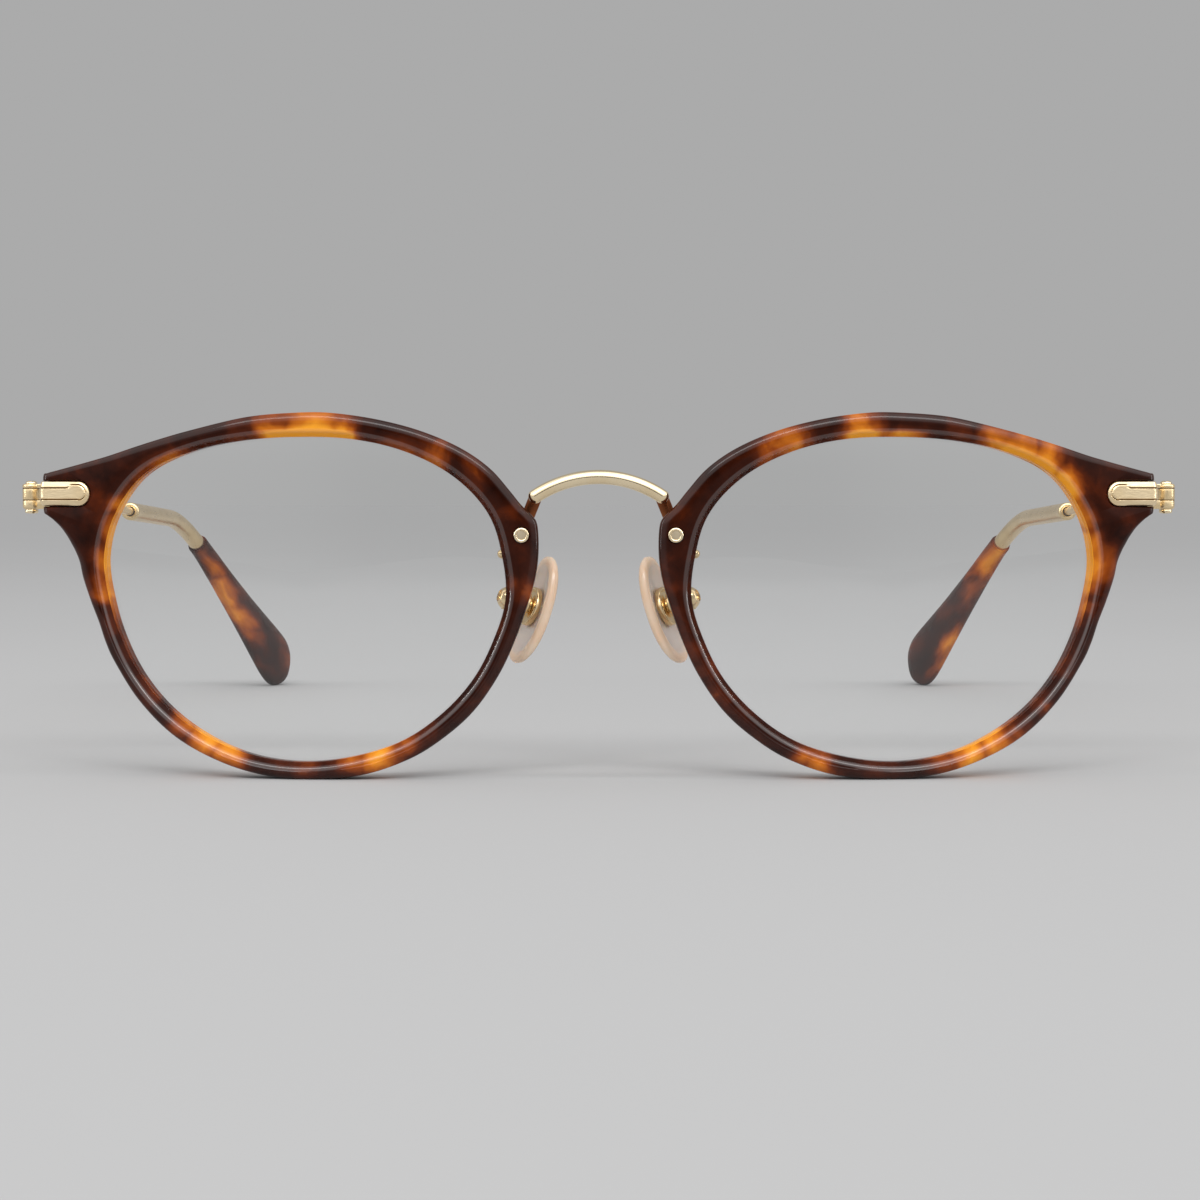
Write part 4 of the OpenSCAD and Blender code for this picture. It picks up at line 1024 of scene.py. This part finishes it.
for side, word in ((1, "left"), (-1, "right")):
    temple = word + "_temple"
    for part, build, body, slot, node_name, mats in (
            ("rim", build_rim, "front", "tortoise", word + "_rim", [RIM_PAINT[side]]),
            ("lens", build_lens, "front", "lens", word + "_lens", [LENS, LENS_EDGE]),
            ("endpiece", build_endpiece, "front", "gold", word + "_endpiece", [BRUSHED, SATIN, GROOVE_SHADE]),
            ("wire", build_wire, temple, "satin_gold", temple + "_wire", [SATIN, SATIN, GROOVE_SHADE]),
            ("sleeve", build_sleeve, temple, "satin_gold", word + "_sleeve", [SLEEVE]),
            ("tip", build_tip, temple, "tortoise", word + "_tip", [TIP_PAINT[side]]),
            ("nose_pad", build_pad, word + "_pad", "pad", word + "_nose_pad", [PAD_PAINT]),
            ("hinge_screw", build_hinge_screw, "front", "gold", "hinge_screws", [GOLD]),
            ("nut", build_nut, "front", "gold", "hinge_nuts", [GOLD]),
            ("rivet", build_rivet, "front", "gold", "bridge_rivets", [GOLD, DULL])):
        show(build(side, "shown_%s_%s" % (word, part)), body, slot, node_name, *mats)

show(build_bridge("shown_bridge"), "front", "gold", "bridge", GOLD, STRAP_SHADE)
for name in ("left_pad_arm", "right_pad_arm", "arm_pegs", "left_pad_cup", "right_pad_cup", "pad_screws",
             "endpiece_screws"):
    finish_metal(name, DEEP)


# Stage -----------------------------------------------------------------------

# The tone that the lit floor takes far away, which the backdrop continues
PALE = (0.4065, 0.4067, 0.407)
FLOOR_REACH = 60.0
AIM = (0, -0.05, 0.02)


def floor():
    """A wide pale floor, one plain tone out to the horizon."""
    mesh = bpy.data.meshes.new("floor")
    corners = ((-1, -1), (1, -1), (1, 1), (-1, 1))
    mesh.from_pydata([(x * FLOOR_REACH, y * FLOOR_REACH, 0) for x, y in corners], [], [(0, 1, 2, 3)])
    obj = bpy.data.objects.new("floor", mesh)
    bpy.context.scene.collection.objects.link(obj)
    m, nt, bsdf = material("floor_paper")
    tone = ramp(nt, noise(nt, object_place(nt), 6.0)["Fac"],
                [(0.0, (0.495, 0.495, 0.497)), (1.0, (0.505, 0.505, 0.507))])
    set_inputs(nt, bsdf, {"Base Color": tone, "Roughness": 0.9, "Specular IOR Level": 0.0})
    mesh.materials.append(m)
    return obj


floor()


def aim(obj, at, to):
    bpy.context.scene.collection.objects.link(obj)
    obj.location = at
    obj.rotation_euler = (Vector(to) - Vector(at)).to_track_quat("-Z", "Y").to_euler()


def area(name, at, size, power):
    data = bpy.data.lights.new(name, "AREA")
    data.shape = "RECTANGLE"
    data.size, data.size_y = size
    data.energy = power
    aim(bpy.data.objects.new(name, data), at, AIM)


sky = bpy.data.lights.new("sky_soft", "SUN")
sky.energy, sky.angle = 0.62, math.radians(60)
aim(bpy.data.objects.new("sky_soft", sky), (0.35, -0.9, 1.6), (0, 0, 0))
area("key_soft", (0.0, -0.75, 0.75), (1.2, 0.22), 4.2)
area("left_soft", (-0.82, -0.2, 0.26), (0.07, 0.6), 1.0)
area("right_soft", (0.82, -0.2, 0.26), (0.07, 0.6), 1.0)


def grey(*stops):
    return [(at, (v, v, v)) for at, v in stops]


def light_room():
    """The room: plain for soft light, pale behind for camera and lens, banded for the metal's shine."""
    world = bpy.data.worlds.new("studio")
    bpy.context.scene.world = world
    world.use_nodes = True
    nt = world.node_tree
    bg = next(n for n in nt.nodes if n.type == "BACKGROUND")
    way = nt.nodes.new("ShaderNodeTexCoord").outputs["Generated"]
    x, y, z = node(nt, "ShaderNodeSeparateXYZ", {"Vector": way}).outputs
    wide = ramp(nt, math_node(nt, "ABSOLUTE", x),
                grey((0.0, 0.05), (0.14, 0.08), (0.3, 0.45), (0.6, 0.7), (1.0, 0.7)), "LINEAR")
    back = ramp(nt, y, grey((0.0, 0.0), (0.4, 1.0)))
    band = ramp(nt, z, grey((0.14, 0.0), (0.32, 1.0), (0.8, 1.0), (0.95, 0.5)))
    high = math_node(nt, "MULTIPLY", band, math_node(nt, "SUBTRACT", 1.0, back))
    room = mix(nt, high, mix(nt, back, wide, PALE), (1.4, 1.4, 1.4))
    path = nt.nodes.new("ShaderNodeLightPath").outputs
    lit = mix(nt, path["Is Diffuse Ray"], room, (0.62, 0.62, 0.62))
    seen = math_node(nt, "MAXIMUM", path["Is Camera Ray"], path["Is Transmission Ray"])
    set_inputs(nt, bg, {"Color": mix(nt, seen, lit, PALE), "Strength": 1.0})


light_room()

# Camera: as far from the front and as high as the photograph's, pitched down a little.
# Its focal length and the horizon's height above the middle are in the photograph's pixels.
PHOTO_PX, FOCAL_PX, HORIZON_PX = 1200, 2060, 95
CAMERA_X, CAMERA_Y, CAMERA_Z = 0.17, -(250.0 + MID_Y), 33.5
cam_data = bpy.data.cameras.new("camera")
cam = bpy.data.objects.new("camera", cam_data)
bpy.context.scene.collection.objects.link(cam)
bpy.context.scene.camera = cam
cam_data.sensor_width = 36.0
cam_data.lens = cam_data.sensor_width * FOCAL_PX / PHOTO_PX
cam_data.clip_start = 0.01
cam.location = (CAMERA_X * MM, CAMERA_Y * MM, CAMERA_Z * MM)
cam.rotation_euler = (math.pi / 2 - math.atan(HORIZON_PX / FOCAL_PX), 0, 0)

bpy.context.scene.view_settings.view_transform = "Standard"
